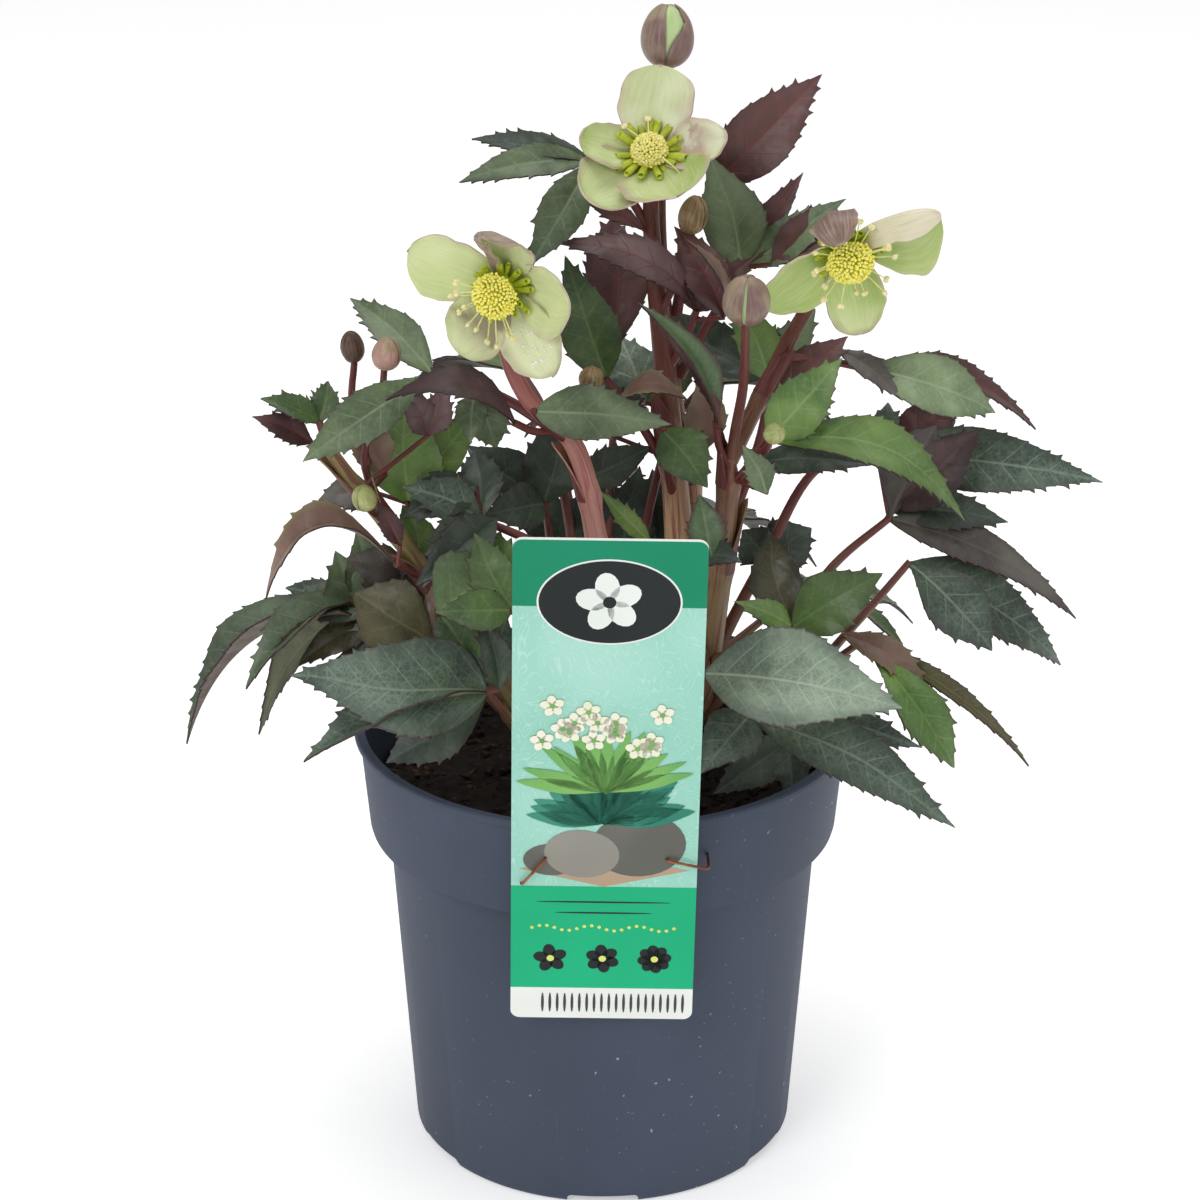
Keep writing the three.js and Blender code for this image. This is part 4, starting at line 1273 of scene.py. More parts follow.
        def fan(count: int, foot: float, reach: float, wide: float) -> list[Piece]:
            """Leaves that spread from a point.

            Args:
                count: how many there are.
                foot: the height of the point.
                reach: how long they are, about.
                wide: how wide they are, about.

            Returns:
                The leaves.
            """
            made = []
            for i in range(count):
                turn = -78 + 156 * i / (count - 1) + draw.uniform(-7, 7)
                long = reach * draw.uniform(0.75, 1.05)
                way = math.radians(turn + 90)
                middle = (0.55 * long * math.cos(way), foot + 0.55 * long * math.sin(way) * 0.9)
                breadth = wide * draw.uniform(0.8, 1.2)
                made.append(self.spot(*middle, breadth, long * 0.8, turn, 16, 0.35))
            return made

        spots = [(draw.uniform(-17, 17), 92 + draw.uniform(-5, 8)) for _ in range(15)]
        return [
            self.ink("label_sand", 2, sand, [self.spot(0, 49, 45, 11, 0, 4)]),
            self.ink("label_stones", 3, stone, [self.spot(9, 57, 25, 20, 4), self.spot(-14, 52, 15, 10)]),
            self.ink("label_pale_stones", 4, pale_stone, [self.spot(-6, 54, 20, 15, -6)]),
            self.ink("label_teal_leaves", 5, teal, fan(22, 64, 21, 6)),
            self.ink("label_sprigs", 6, sprig, fan(15, 74, 21, 4.2)),
            self.ink("label_flowers", 7, cream, sum((self.flower(x, y, 5.6) for x, y in spots), [])),
            self.ink("label_hearts", 8, sprig, [self.spot(x, y, 1.5, 1.5, 0, 10) for x, y in spots]),
        ]

    def signs(self) -> list[Piece]:
        """Three small flower signs, a wavy rule of dots and two thin rules on the green field.

        Returns:
            Their pieces, one for each colour and level.
        """
        ink = PrintFinish("print_charcoal", "23282a", "1d2224")
        yellow = PrintFinish("print_yellow", "d3e06a", "dbe67c")
        marks = []
        for i in range(3):
            marks += self.flower(-14 + 14 * i, 20, 8, (5, 6, 8)[i])
        dots = [self.spot(-19 + 2 * i, 30 + 0.8 * math.sin(i), 1, 1, 0, 10) for i in range(20)]
        rules = [self.spot(0, 38.5, 36, 0.5, 0, 24), self.spot(0, 35, 26, 0.5, 0, 24)]
        hearts = [self.spot(-14 + 14 * i, 20, 2, 2, 0, 12) for i in range(3)]
        return [
            self.ink("label_signs", 3, ink, marks + rules),
            self.ink("label_dots", 3, yellow, dots),
            self.ink("label_sign_hearts", 4, yellow, hearts),
        ]

    def panel(self, dark: Finish, white: Finish) -> list[Piece]:
        """The dark oval at the top with its white line and a white flower.

        Args:
            dark: the finish of the oval.
            white: the finish of the line and the flower.

        Returns:
            Their pieces, one for each colour and level.
        """
        y = 131
        return [
            self.ink("label_panel_line", 3, white, [self.spot(0, y, 37, 25, 0, 64)]),
            self.ink("label_panel", 4, dark, [self.spot(0, y, 36, 24, 0, 64)]),
            self.ink("label_panel_bloom", 5, white, self.flower(0, y, 15)),
            self.ink("label_panel_heart", 6, dark, [self.spot(0, y, 3.4, 3.4, 0, 24)]),
        ]

    def build(self) -> None:
        """The card with everything printed on it, as one piece."""
        mint = PrintFinish("print_mint", "97d1bf", "aadccd", 0.4)
        green = PrintFinish("print_green", "10ae79", "14b580")
        deep = PrintFinish("print_deep_green", "0c8762", "108d69")
        dark = PrintFinish("print_dark_panel", "23282a", "1d2224")
        bright = PrintFinish("print_bright_white", "eff3ee", "e6ece6")
        white = PrintFinish("print_white_strip", "f2f4ef", "e9ece6")
        grey = PrintFinish("print_ticks", "3a3d40", "44484a")
        ticks = [self.spot(-16 + 2.0 * i, 5.2, 0.8, 6.5, 0, 12) for i in range(20)]
        parts = [
            self.card(0, self.height, Corners.ALL, 0, "label_card", white),
            self.card(10.2, self.height - 0.4, Corners.TOP, 1, "label_field", mint),
            self.card(10.2, 43.5, Corners.NONE, 2, "label_green", green),
            self.card(self.height - 19.6, self.height - 0.4, Corners.TOP, 2, "label_deep", deep),
            self.ink("label_ticks", 1, grey, ticks),
        ]
        whole = join("care_label", parts + self.garden() + self.signs() + self.panel(dark, bright))
        whole.data.transform(self.place)
        whole.data.update()
        settle(whole, "label", "label")


@dataclass
class Staple:
    """A wire staple: its crown lies on the label and its legs go back through the collar."""

    node: str
    left: tuple[float, float]
    right: tuple[float, float]
    wire: float = 0.4                # radius
    clear: float = 1.4               # from the back of the label to the wire

    def build(self, label: CareLabel) -> None:
        """Bends the wire along its line.

        Args:
            label: the label that it holds to its pot.
        """
        def front(z: float) -> float:
            """Y of the crown at a height."""
            return label.face_y(z) - self.clear - self.wire

        def inside(x: float) -> float:
            """Y of the end of a leg."""
            return -math.sqrt(label.pot.collar_foot**2 - x**2) + label.pot.wall + 1.5

        def crown(share: float) -> Point:
            """A point along the crown."""
            x, z = left_x + (right_x - left_x) * share, left_z + (right_z - left_z) * share
            return x, front(z) + 0.1 * abs(2 * share - 1), z

        (left_x, left_z), (right_x, right_z) = self.left, self.right
        route = [
            (left_x, inside(left_x), left_z), (left_x, front(left_z) + 0.8, left_z),
            *[crown(share) for share in (0.06, 0.3, 0.7, 0.94)],
            (right_x, front(right_z) + 0.8, right_z), (right_x, inside(right_x), right_z),
        ]
        bar = tube(self.node + "_wire", smooth_route(route, 70),
                   lambda share, angle: np.full_like(share, self.wire), 12)
        dress(bar, WireFinish().material())
        settle(bar, "copper", self.node)


# ---------------------------------------------------------------- leaves
@dataclass(frozen=True)
class Leaflet:
    """One leaflet of a leaf: arched along its rib, folded a little along it, with spiny teeth."""

    tip: Point
    width: float
    arch: float                      # how far its middle stands off its chord
    lean: float                      # degrees that its face turns from upright
    face: Face
    lean_towards: float = FRONT
    fold: float = 14                 # degrees that each half rises from the rib
    belly: float = 0.42              # how far along it is widest
    thickness = 0.5
    steps_across = 10
    tooth_spacing = 3.1
    tooth_sizes = (0.25, 0.6, 1.0, 1.5)
    stations = ((0.0, 0.0), (0.5, 0.3), (0.8, 1.0), (0.92, 0.2))   # place in a tooth, height

    def axes(self, hub: Array) -> tuple[Array, Array, Array]:
        """How the leaflet lies.

        Args:
            hub: where the leaflet starts.

        Returns:
            The chord from foot to tip, and the unit ways of the leaflet's face and its side.
        """
        chord = np.array(self.tip, float) - hub
        along = chord / np.linalg.norm(chord)
        lean, towards = math.radians(self.lean), math.radians(self.lean_towards)
        level = math.sin(lean)
        face = np.array([level * math.cos(towards), level * math.sin(towards), math.cos(lean)])
        face = unit(face - along * (face @ along))
        return chord, face, np.cross(face, along)

    def outline(self, along: Array, swing: Array, teeth: int, length: float,
                draw: np.random.Generator) -> tuple[Array, Array, Array]:
        """Lays the points out flat, with the teeth at the edge.

        Args:
            along: the share of each point along the grid.
            swing: its place across, from -1 to 1.
            teeth: how many teeth each side has.
            length: the leaflet's length.
            draw: the random draws of this leaf.

        Returns:
            For each point its share along the rib, its distance from it, and half the width there.
        """
        rows = teeth * len(self.stations)
        row = np.rint(along * rows).astype(int)
        tooth, station = np.divmod(row, len(self.stations))
        places, heights = np.array(self.stations).T
        base = np.where(row == rows, 1.0, (tooth + places[station]) / teeth)
        size = draw.choice(self.tooth_sizes, (2, teeth + 1))[(swing > 0).astype(int), tooth]
        power = math.log(0.5) / math.log(self.belly)
        half = self.width / 2 * np.sin(np.pi * np.clip(base, 0, 1) ** power) ** 1.15
        half = np.maximum(half * 0.95, 0.55 * (1 - base) ** 0.5)
        spine = size * (0.4 + 0.6 * base) * np.clip(half / 2, 0, 1) * heights[station]
        spine = np.where(row == rows, 0, spine) * (np.abs(swing) > 0.99)
        return np.clip(base + spine * 0.75 / length, 0, 1), swing * half + np.sign(swing) * spine, half

    def lift(self, u: Array, offset: Array, half: Array, swing: Array, length: float,
             draw: np.random.Generator) -> Array:
        """How far each point stands off the chord.

        Args:
            u: its share along the rib.
            offset: its distance from the rib.
            half: half the width there.
            swing: its place across, from -1 to 1.
            length: the leaflet's length.
            draw: the random draws of this leaf.

        Returns:
            The arch, the fold, the waves, the quilting between the veins and the twist together.
        """
        edge = np.abs(swing)
        waves = draw.uniform(1.4, 2.6, 2)
        phase = draw.uniform(0, 2 * np.pi, 2)
        ripple = np.sin(2 * np.pi * (u * waves[0] + 0.25 * swing) + phase[0]) * 0.065 * half * swing**2
        short = 2 * np.pi * (u * waves[1] * 2.3) + phase[1] + (swing > 0) * 2.0
        ripple += np.sin(short) * 0.03 * half * edge**3
        sag = math.sin(math.radians(self.fold)) * np.abs(offset) * (1.0 - 0.25 * edge) * (1 + 0.4 * (1 - u))
        vein_phase = np.pi * VEINS_PER_CM / 10 * (u * length - VEIN_SWEEP * np.abs(offset))
        quilt = 0.3 * np.sin(vein_phase) ** 2 * np.clip(edge * 3, 0, 1) * np.clip(half / 5, 0, 1)
        twist = math.tan(draw.normal(0, 0.2)) * u * offset
        return 4 * self.arch * u * (1 - u) + sag + ripple + quilt * (1 - edge**8) + twist

    def build(self, hub: Array, draw: np.random.Generator) -> Piece:
        """Lays a grid along the leaflet and gives it its body.

        Args:
            hub: where the leaflet starts.
            draw: the random draws of this leaf.

        Returns:
            The leaflet as a thin closed body.
        """
        chord, face, side = self.axes(hub)
        length = float(np.linalg.norm(chord))
        teeth = max(8, round(length / self.tooth_spacing))
        piece, along, across = grid("leaflet", teeth * len(self.stations), self.steps_across)
        swing = 2 * across - 1
        u, offset, half = self.outline(along, swing, teeth, length, draw)
        lift = self.lift(u, offset, half, swing, length, draw)
        bend = draw.normal(0, 0.03) * length * np.sin(np.pi * u) ** 2
        aside = offset * math.cos(math.radians(self.fold)) ** 0.8 + bend
        write_points(piece, hub + np.outer(u, chord) + np.outer(lift, face) + np.outer(aside, side))
        luck = draw.uniform()
        write_grain(piece, "grain", columns(u * length / 10, offset / 10, 7 * luck))
        write_grain(piece, "share", columns(u, np.abs(swing), luck))
        dress(piece, *self.face.materials)
        thicken(piece, self.thickness)
        return piece


@dataclass(frozen=True)
class Leaf:
    """A compound leaf: leaflets that meet at a hub, and the route of the stalk that carries them."""

    node: str
    hub: Point
    stalk: tuple[Point, ...]
    leaflets: tuple[Leaflet, ...]
    slot: str = "leaf_green"

    @property
    def extra(self) -> bool:
        """True where no solid stands for it and its stalk starts at the nearest stem."""
        return not self.stalk

    def build(self, number: int) -> None:
        """Builds the leaf's piece.

        Args:
            number: which leaf it is, for its random draws.
        """
        draw = np.random.default_rng(SEED * 100 + number)
        hub = np.array(self.hub, float)
        parts = [leaflet.build(hub, draw) for leaflet in self.leaflets]
        whole = join(self.node + "_blades", parts)
        smooth(whole, 55)
        nodes = () if self.extra else (self.node,)
        settle(whole, self.slot, *nodes)


LEAVES = (
    Leaf("leaf_crown_left", (-3, 4, 286), ((15, 2, 262), (7, 5, 276)), (
        Leaflet((-35, 12, 290), 9, 2, 30, Face.DARK, fold=25),
        Leaflet((-38, -2, 282), 11, 3, 35, Face.LEAF),
        Leaflet((-19, -19, 264), 13, 3, 66, Face.LEAF, belly=0.5))),
    Leaf("bract_arch", (25, -4, 247), ((17, 0, 228), (23, -2, 240)), (
        Leaflet((-13, -10, 268), 12.5, 14, 46, Face.MAUVE, fold=18, belly=0.5),
        Leaflet((20, -7, 268), 9, 2, 60, Face.PURPLE), Leaflet((40, -4, 262), 10, 2, 60, Face.PURPLE)),
        "leaf_purple"),
    Leaf("leaf_behind_bloom", (1, -2, 227), ((18, 0, 200), (9, -1, 216)), (
        Leaflet((-10, -6, 263), 17, 3, 72, Face.DEEP),
        Leaflet((3, 22, 266), 18, 3, 65, Face.PURPLE, belly=0.6))),
    Leaf("bract_top_right", (29, 20, 274), ((20, 13, 240), (24, 18, 262)), (
        Leaflet((59, 26, 304), 19, 3, 62, Face.PURPLE),), "leaf_purple"),
    Leaf("leaf_top_right", (38, 12, 254), ((21, 12, 223), (31, 12, 242)), (
        Leaflet((28.5, 8, 287), 18, 2, 75, Face.LEAF, fold=8),
        Leaflet((54, 18, 279), 9, 1, 50, Face.PURPLE), Leaflet((65, 10, 274), 12, 1, 55, Face.LEAF))),
    Leaf("leaf_middle_arch", (30, -22, 222), ((34, -14, 206), (31, -18, 214)), (
        Leaflet((9, -24, 256), 10, 7, 30, Face.EDGED, fold=46),)),
    Leaf("leaf_middle_back", (46, 12, 222), ((32, -8, 180), (43, 6, 206)), (
        Leaflet((35, 9, 247), 13, 2, 70, Face.BRIGHT), Leaflet((58, 13, 242), 12, 2, 65, Face.LEAF),
        Leaflet((15, 30, 236), 15, 3, 60, Face.DARK)), "leaf_bright"),
    Leaf("leaf_right_bright", (44, -20, 216), ((34, -14, 200), (40, -17, 209)), (
        Leaflet((63, -22, 240), 16, 3, 65, Face.BRIGHT), Leaflet((97, -26, 195), 16, 14, 32, Face.BRIGHT)),
        "leaf_bright"),
    Leaf("leaf_right_upper", (70, 2, 229), ((47, -8, 235), (57, -2, 233)), (
        Leaflet((107, 2, 216), 18, 6, 55, Face.PALE, belly=0.5),
        Leaflet((121, 22, 204), 12, 7, 30, Face.PURPLE))),
    Leaf("leaf_right_far", (84, 20, 197), ((29, -4, 142), (44, 0, 172), (60, 8, 198)), (
        Leaflet((139, 12, 192), 20, 6, 55, Face.NETTED, fold=8, belly=0.34),
        Leaflet((98, 26, 210), 16, 2, 60, Face.PURPLE))),
    Leaf("leaf_right_middle", (79, 2, 185), ((26, -2, 125), (50, -3, 152), (64, 0, 172)), (
        Leaflet((91, 4, 212), 21, 2, -60, Face.PLUM, belly=0.55),
        Leaflet((132, 0, 156), 13, 8, 40, Face.GREYED, belly=0.34)), "leaf_purple"),
    Leaf("leaf_right_low", (84, -6, 175), ((8, -4, 109), (45, -9, 130), (70, -8, 158)), (
        Leaflet((107, -16, 153), 18, 5, 45, Face.NETTED, belly=0.5),
        Leaflet((129, 4, 140), 20, 6, 42, Face.NETTED, belly=0.38))),
    Leaf("leaf_right_inner", (51, -30, 166), ((29, -6, 145), (40, -20, 156)), (
        Leaflet((75, -30, 182), 18, 3, 60, Face.DEEP), Leaflet((35, -40, 178), 8, 2, 50, Face.BRIGHT),
        Leaflet((45, -14, 188), 15, 3, 70, Face.OLIVE))),
    Leaf("leaf_right_silver", (27, -40, 157), ((4, -7, 109), (18, -30, 136)), (
        Leaflet((79, -58, 155), 30, 7, 52, Face.SILVER, fold=20, belly=0.42),), "leaf_silver"),
    Leaf("leaf_right_bottom", (40, -38, 144), ((6, -6, 109), (28, -29, 129)), (
        Leaflet((26, -56, 135), 17, 3, 55, Face.NETTED), Leaflet((86, -44, 137), 13, 4, 52, Face.NETTED),
        Leaflet((94, -60, 121), 17, 6, 50, Face.NETTED)), "leaf_silver"),
    Leaf("leaf_pot_right", (51, -18, 126), ((8, -2, 109), (36, -10, 124)), (
        Leaflet((30, -40, 121), 14, 2, 60, Face.DARK), Leaflet((52, -34, 117), 13, 2, 60, Face.DARK))),
    Leaf("leaf_right_hanging", (71, -14, 155), ((8, -4, 109), (45, -12, 129), (62, -13, 147)), (
        Leaflet((96, -34, 126), 15, 8, 50, Face.BRIGHT, fold=30, belly=0.62),
        Leaflet((118, -22, 121), 7, 8, 35, Face.KHAKI, fold=35)), "leaf_bright"),
    Leaf("leaf_left_upper", (-45, -16, 233.5), ((-12, -21, 219), (-28, -15, 227)), (
        Leaflet((-68, 3, 248.5), 12, 2, 45, Face.LEAF),
        Leaflet((-78, -44, 219), 14, 4, 58, Face.LEAF, fold=8, belly=0.55))),
    Leaf("bract_left_arch", (-23, -26, 223), ((-13, -21, 219), (-18, -24, 220)), (
        Leaflet((-57, -30, 231), 11, 13, 30, Face.PLUM, fold=8),), "leaf_purple"),
    Leaf("leaf_left_crest", (-75, -24, 222.5), ((-65, -23, 203), (-72, -24, 213)), (
        Leaflet((-90, -27, 230.5), 8, 2, 38, Face.DEEP, fold=30),
        Leaflet((-73, -16, 231.5), 8, 1, 60, Face.DEEP)), "leaf_bright"),
    Leaf("bract_left_brown", (-55, -29, 184), ((-48, -19, 175), (-52, -24, 180)), (
        Leaflet((-90, -36, 177), 13, 19, 8, Face.BROWN, fold=44, belly=0.5),), "leaf_purple"),
    Leaf("leaf_left_bright", (-53, -8, 193.5), ((-46, -18, 172), (-50, -11, 185)), (
        Leaflet((-53, -7, 225), 23, 3, 72, Face.BRIGHT), Leaflet((-33, 2, 218), 13, 2, 60, Face.LIME)),
        "leaf_bright"),
    Leaf("leaf_left_middle", (-33, -14, 191), ((-1, -17, 170), (-17, -16, 184)), (
        Leaflet((-54, -20, 203), 13, 3, 50, Face.NETTED), Leaflet((-48, -36, 180), 14, 6, 50, Face.DARK),
        Leaflet((-35, 3, 205), 13, 3, 68, Face.DARK))),
    Leaf("leaf_left_far", (-69, -10, 165), ((-22, -10, 126), (-47, -8, 152)), (
        Leaflet((-116, -14, 124), 19, 10, 4, Face.DROOPING, fold=52, belly=0.4),
        Leaflet((-97, -30, 148), 17, 5, 6, Face.DROOPING, fold=48, belly=0.36),
        Leaflet((-88, -2, 166), 9, 2, 45, Face.NETTED), Leaflet((-93, -40, 139), 13, 4, -60, Face.LEAF))),
    Leaf("leaf_left_silver", (-31, -42, 152.5), ((-4, -7, 109), (-21, -30, 134)), (
        Leaflet((-83, -48, 160), 30, 7, 53, Face.NETTED, fold=16, belly=0.34),
        Leaflet((-79, -62, 141.5), 22, 4, 12, Face.NETTED, fold=50, belly=0.4),
        Leaflet((-59, -35, 128), 17, 2, 60, Face.DARK)), "leaf_silver"),
    Leaf("leaf_left_inner", (-43, -30, 160), ((-24, -12, 134), (-35, -22, 148)), (
        Leaflet((-67, -26, 174.5), 22, 3, 60, Face.KHAKI, belly=0.6),
        Leaflet((-46, -24, 176), 12, 2, 66, Face.BROWN))),
    Leaf("leaf_left_label", (-24, -44, 177), ((-1, -20, 180), (-13, -34, 180)), (
        Leaflet((-44, -50, 179), 12, 3, 60, Face.DEEP), Leaflet((-34, -36, 196), 13, 2, 66, Face.DEEP))),
    Leaf("leaf_centre_front", (-18, -32, 228.5), ((-10, -22, 217), (-13, -27, 221)), (
        Leaflet((18, -35, 226), 15, 3, 60, Face.LEAF, fold=8, belly=0.36),)),
    Leaf("leaf_centre_low", (16, -14, 217), ((20, 0, 190), (17, -9, 207)), (
        Leaflet((28, -24, 204), 15, 2, 62, Face.DEEP),), "leaf_bright"),
    Leaf("leaf_behind_left", (-16, 8, 187), ((-4, 2, 108), (-11, 5, 150)), (
        Leaflet((-38, 14, 202), 17, 3, 66, Face.DARK), Leaflet((-33, -6, 189), 14, 3, 62, Face.DARK),
        Leaflet((-12, 18, 210), 19, 3, 70, Face.DARK))),
)

# Small leaves and bracts that fill the heart of the plant, with no stalk of their own to follow.
INNER_LEAVES = (
    Leaf("bract_folded", (32.3, -8, 246.4), (), (
        Leaflet((18.9, 0, 269.4), 13, 5, 38, Face.PURPLE),
        Leaflet((21.3, -12, 269.7), 7, 5, 20, Face.BROWN))),
    Leaf("leaf_grey_back", (12, 20, 212.7), (), (
        Leaflet((4.8, 28, 229.3), 16, 3, 60, Face.SILVER), Leaflet((27, 26, 226.5), 13, 3, 60, Face.LEAF))),
    Leaf("leaf_dark_centre", (2.6, 8, 207.1), (), (
        Leaflet((0.4, 12, 224.3), 14, 3, 66, Face.DARK), Leaflet((10.2, 10, 220.3), 12, 3, 66, Face.DARK))),
    Leaf("bract_pink", (4.6, -17, 227), (), (Leaflet((22.6, -20, 227.5), 8, 6, 35, Face.BROWN),)),
    Leaf("bract_olive", (27.1, 0, 205.4), (), (Leaflet((27.7, 2, 228.3), 12, 2, 70, Face.BROWN),)),
    Leaf("bract_plum_right", (46.7, -6, 222), (), (Leaflet((66, 0, 238.6), 13, 2, 62, Face.PURPLE),)),
    Leaf("leaf_edge_right", (63.5, 0, 234.7), (), (Leaflet((80.6, -6, 222.5), 7, 2, 35, Face.GREYED),)),
    Leaf("leaf_under_arch", (40.2, -12, 206.9), (), (Leaflet((71.8, -22, 210.1), 10, 2, 55, Face.DARK),)),
    Leaf("leaf_small_curl", (43.5, -30, 205), (), (Leaflet((36.6, -34, 220), 8, 1, 66, Face.LEAF),)),
    Leaf("leaf_label_right", (29.3, -26, 184.1), (), (
        Leaflet((25.9, -18, 200), 11, 2, 66, Face.EDGED),
        Leaflet((36.9, -38, 188.4), 9, 3, 50, Face.DARK))),
    Leaf("leaf_dark_arch", (-5.1, 4, 195.7), (), (Leaflet((14, 0, 207.1), 12, 3, 60, Face.DARK),)),
    Leaf("leaf_lime_strip", (13, -4, 180.5), (), (Leaflet((-1.3, -12, 198.9), 6, 1, 60, Face.LIME),)),
    Leaf("leaf_dark_fill", (5.5, 18, 164.4), (), (
        Leaflet((-1.3, 26, 187.3), 19, 3, 66, Face.DARK),
        Leaflet((10.5, 24, 192.3), 17, 3, 66, Face.DARK))),
    # Two dark leaves behind the stems, where the heart of the plant lies in shade: their dark face is
    # painted shade.
    Leaf("leaf_dark_gap", (-12, 24, 166), (), (
        Leaflet((-20, 26, 188), 15, 3, 66, Face.DARK), Leaflet((-4, 26, 184), 15, 3, 66, Face.DARK))),
    Leaf("leaf_dark_low", (17, 24, 162), (), (
        Leaflet((14, 28, 190), 15, 3, 66, Face.DARK), Leaflet((28, 26, 182), 14, 3, 66, Face.DARK))),
    Leaf("leaf_left_dark", (-34.4, -10, 199.3), (), (Leaflet((-54, -20, 193.9), 14, 3, 58, Face.DARK),)),
    Leaf("leaf_left_droop", (-28.8, -18, 192.5), (), (
        Leaflet((-49.7, -36, 180.7), 15, 4, 52, Face.DARK, fold=36),)),
    Leaf("leaf_left_ribbed", (-26.7, -28, 166.3), (), (
        Leaflet((-34.3, -14, 191.5), 20, 4, 68, Face.BRIGHT),)),
    Leaf("leaf_left_patch", (-49.8, -14, 177.5), (), (
        Leaflet((-54.4, -8, 193.2), 11, 2, 66, Face.BRIGHT),)),
    Leaf("leaf_khaki", (-44.4, -20, 157.5), (), (
        Leaflet((-66, -6, 177), 24, 6, 50, Face.OLIVE), Leaflet((-50, -12, 182), 20, 4, 66, Face.OLIVE))),
    Leaf("leaf_mauve_left", (-54.2, -14, 175.7), (), (
        Leaflet((-69.6, -18, 180.9), 12, 2, 55, Face.GREYED),)),
    Leaf("leaf_grey_left", (-60, -6, 162), (), (
        Leaflet((-68, 0, 182), 15, 2, 62, Face.LEAF),
        Leaflet((-90, -8, 160), 16, 5, 45, Face.DROOPING, fold=30),
        Leaflet((-84, -20, 150), 13, 4, 45, Face.OLIVE))),
    Leaf("bract_crest", (-77, -24, 217), (), (Leaflet((-92, -30, 226.5), 8, 1, 50, Face.PURPLE),)),
    Leaf("bract_left_sheath", (-58.4, -14, 204.2), (), (
        Leaflet((-67.9, -10, 220.5), 12, 2, 66, Face.BROWN),)),
    Leaf("leaf_left_grey_tip", (-62.2, -8, 196.7), (), (
        Leaflet((-77.1, -12, 196), 12, 2, 52, Face.GREYED),)),
    Leaf("leaf_left_hang", (-34.4, -12, 226.3), (), (
        Leaflet((-35.3, -22, 215.8), 9, 2, 55, Face.LEAF),
        Leaflet((-28.8, -10, 210.2), 12, 2, 55, Face.LEAF))),
    Leaf("bract_behind_right", (45.6, 8, 256.4), (), (Leaflet((63.4, 14, 271.4), 13, 2, 64, Face.PURPLE),)),
    Leaf("bract_behind_top", (10.5, 2, 268.2), (), (Leaflet((-8.2, 8, 278.1), 6, 1, 45, Face.PURPLE),)),
    Leaf("leaf_right_brown", (66, -13, 157), (), (Leaflet((90, -27, 143), 9, 5, 40, Face.BROWN, fold=6),)),
    Leaf("leaf_right_dark_back", (77.6, 20, 192.6), (), (
        Leaflet((98.9, 26, 205.3), 18, 3, 60, Face.DARK),
        Leaflet((79.7, 26, 210.6), 15, 3, 62, Face.DARK))),
    Leaf("bract_plum_strip", (31, -24, 222), (), (
        Leaflet((17, -23, 246), 6, 4, 30, Face.PURPLE, belly=0.5),)),
    Leaf("leaf_plum_right", (80, 6, 186), (), (
        Leaflet((104, 8, 209), 19, 4, 50, Face.PLUM), Leaflet((112, 2, 184), 12, 4, 55, Face.DARK))),
    Leaf("leaf_left_low_fill", (-50, -12, 150), (), (
        Leaflet((-72, -16, 158), 18, 4, 50, Face.DARK), Leaflet((-78, -22, 146), 14, 4, 45, Face.OLIVE))),
    Leaf("leaf_left_shoulder", (-65, -8, 157), (), (
        Leaflet((-73.5, -4, 178), 17, 3, 60, Face.LEAF),
        Leaflet((-90, -14, 157), 17, 4, 8, Face.DROOPING, fold=48))),
    Leaf("leaf_silver_back", (-31.8, -39, 153), (), (
        Leaflet((-25.5, -34, 171), 16, 2, 66, Face.NETTED),
        Leaflet((-45, -32, 173), 18, 3, 62, Face.DEEP))),
    Leaf("leaf_left_curl", (-27.4, -46, 155), (), (
        Leaflet((-33.2, -41, 175), 10, 4, 40, Face.DARK, fold=40),)),
    Leaf("leaf_left_cover", (-44.4, -34, 172), (), (
        Leaflet((-25, -38, 190), 24, 3, 62, Face.DEEP, belly=0.5),)),
    Leaf("bract_left_red", (-54, -30, 190), (), (Leaflet((-60, -30, 203), 6, 2, 60, Face.PURPLE),)),
    Leaf("bract_left_cluster", (-46.8, -16, 216), (), (
        Leaflet((-53.5, -18, 231), 9, 2, 66, Face.MAUVE),
        Leaflet((-41.5, -16, 231), 9, 2, 66, Face.MAUVE))),
    Leaf("leaf_stalk_dark", (46.6, 6, 171.1), (), (
        Leaflet((38.8, 10, 178.5), 14, 2, 60, Face.DARK),
        Leaflet((58.3, 10, 179.1), 16, 2, 60, Face.DARK))),
)

# The back of the plant: degrees round the pot from +X, distance out, height of the hub.
BACK_LEAVES = (
    (30, 60, 148), (64, 60, 162), (100, 58, 172), (146, 60, 154),
    (40, 36, 216), (84, 34, 204), (128, 36, 218),
)


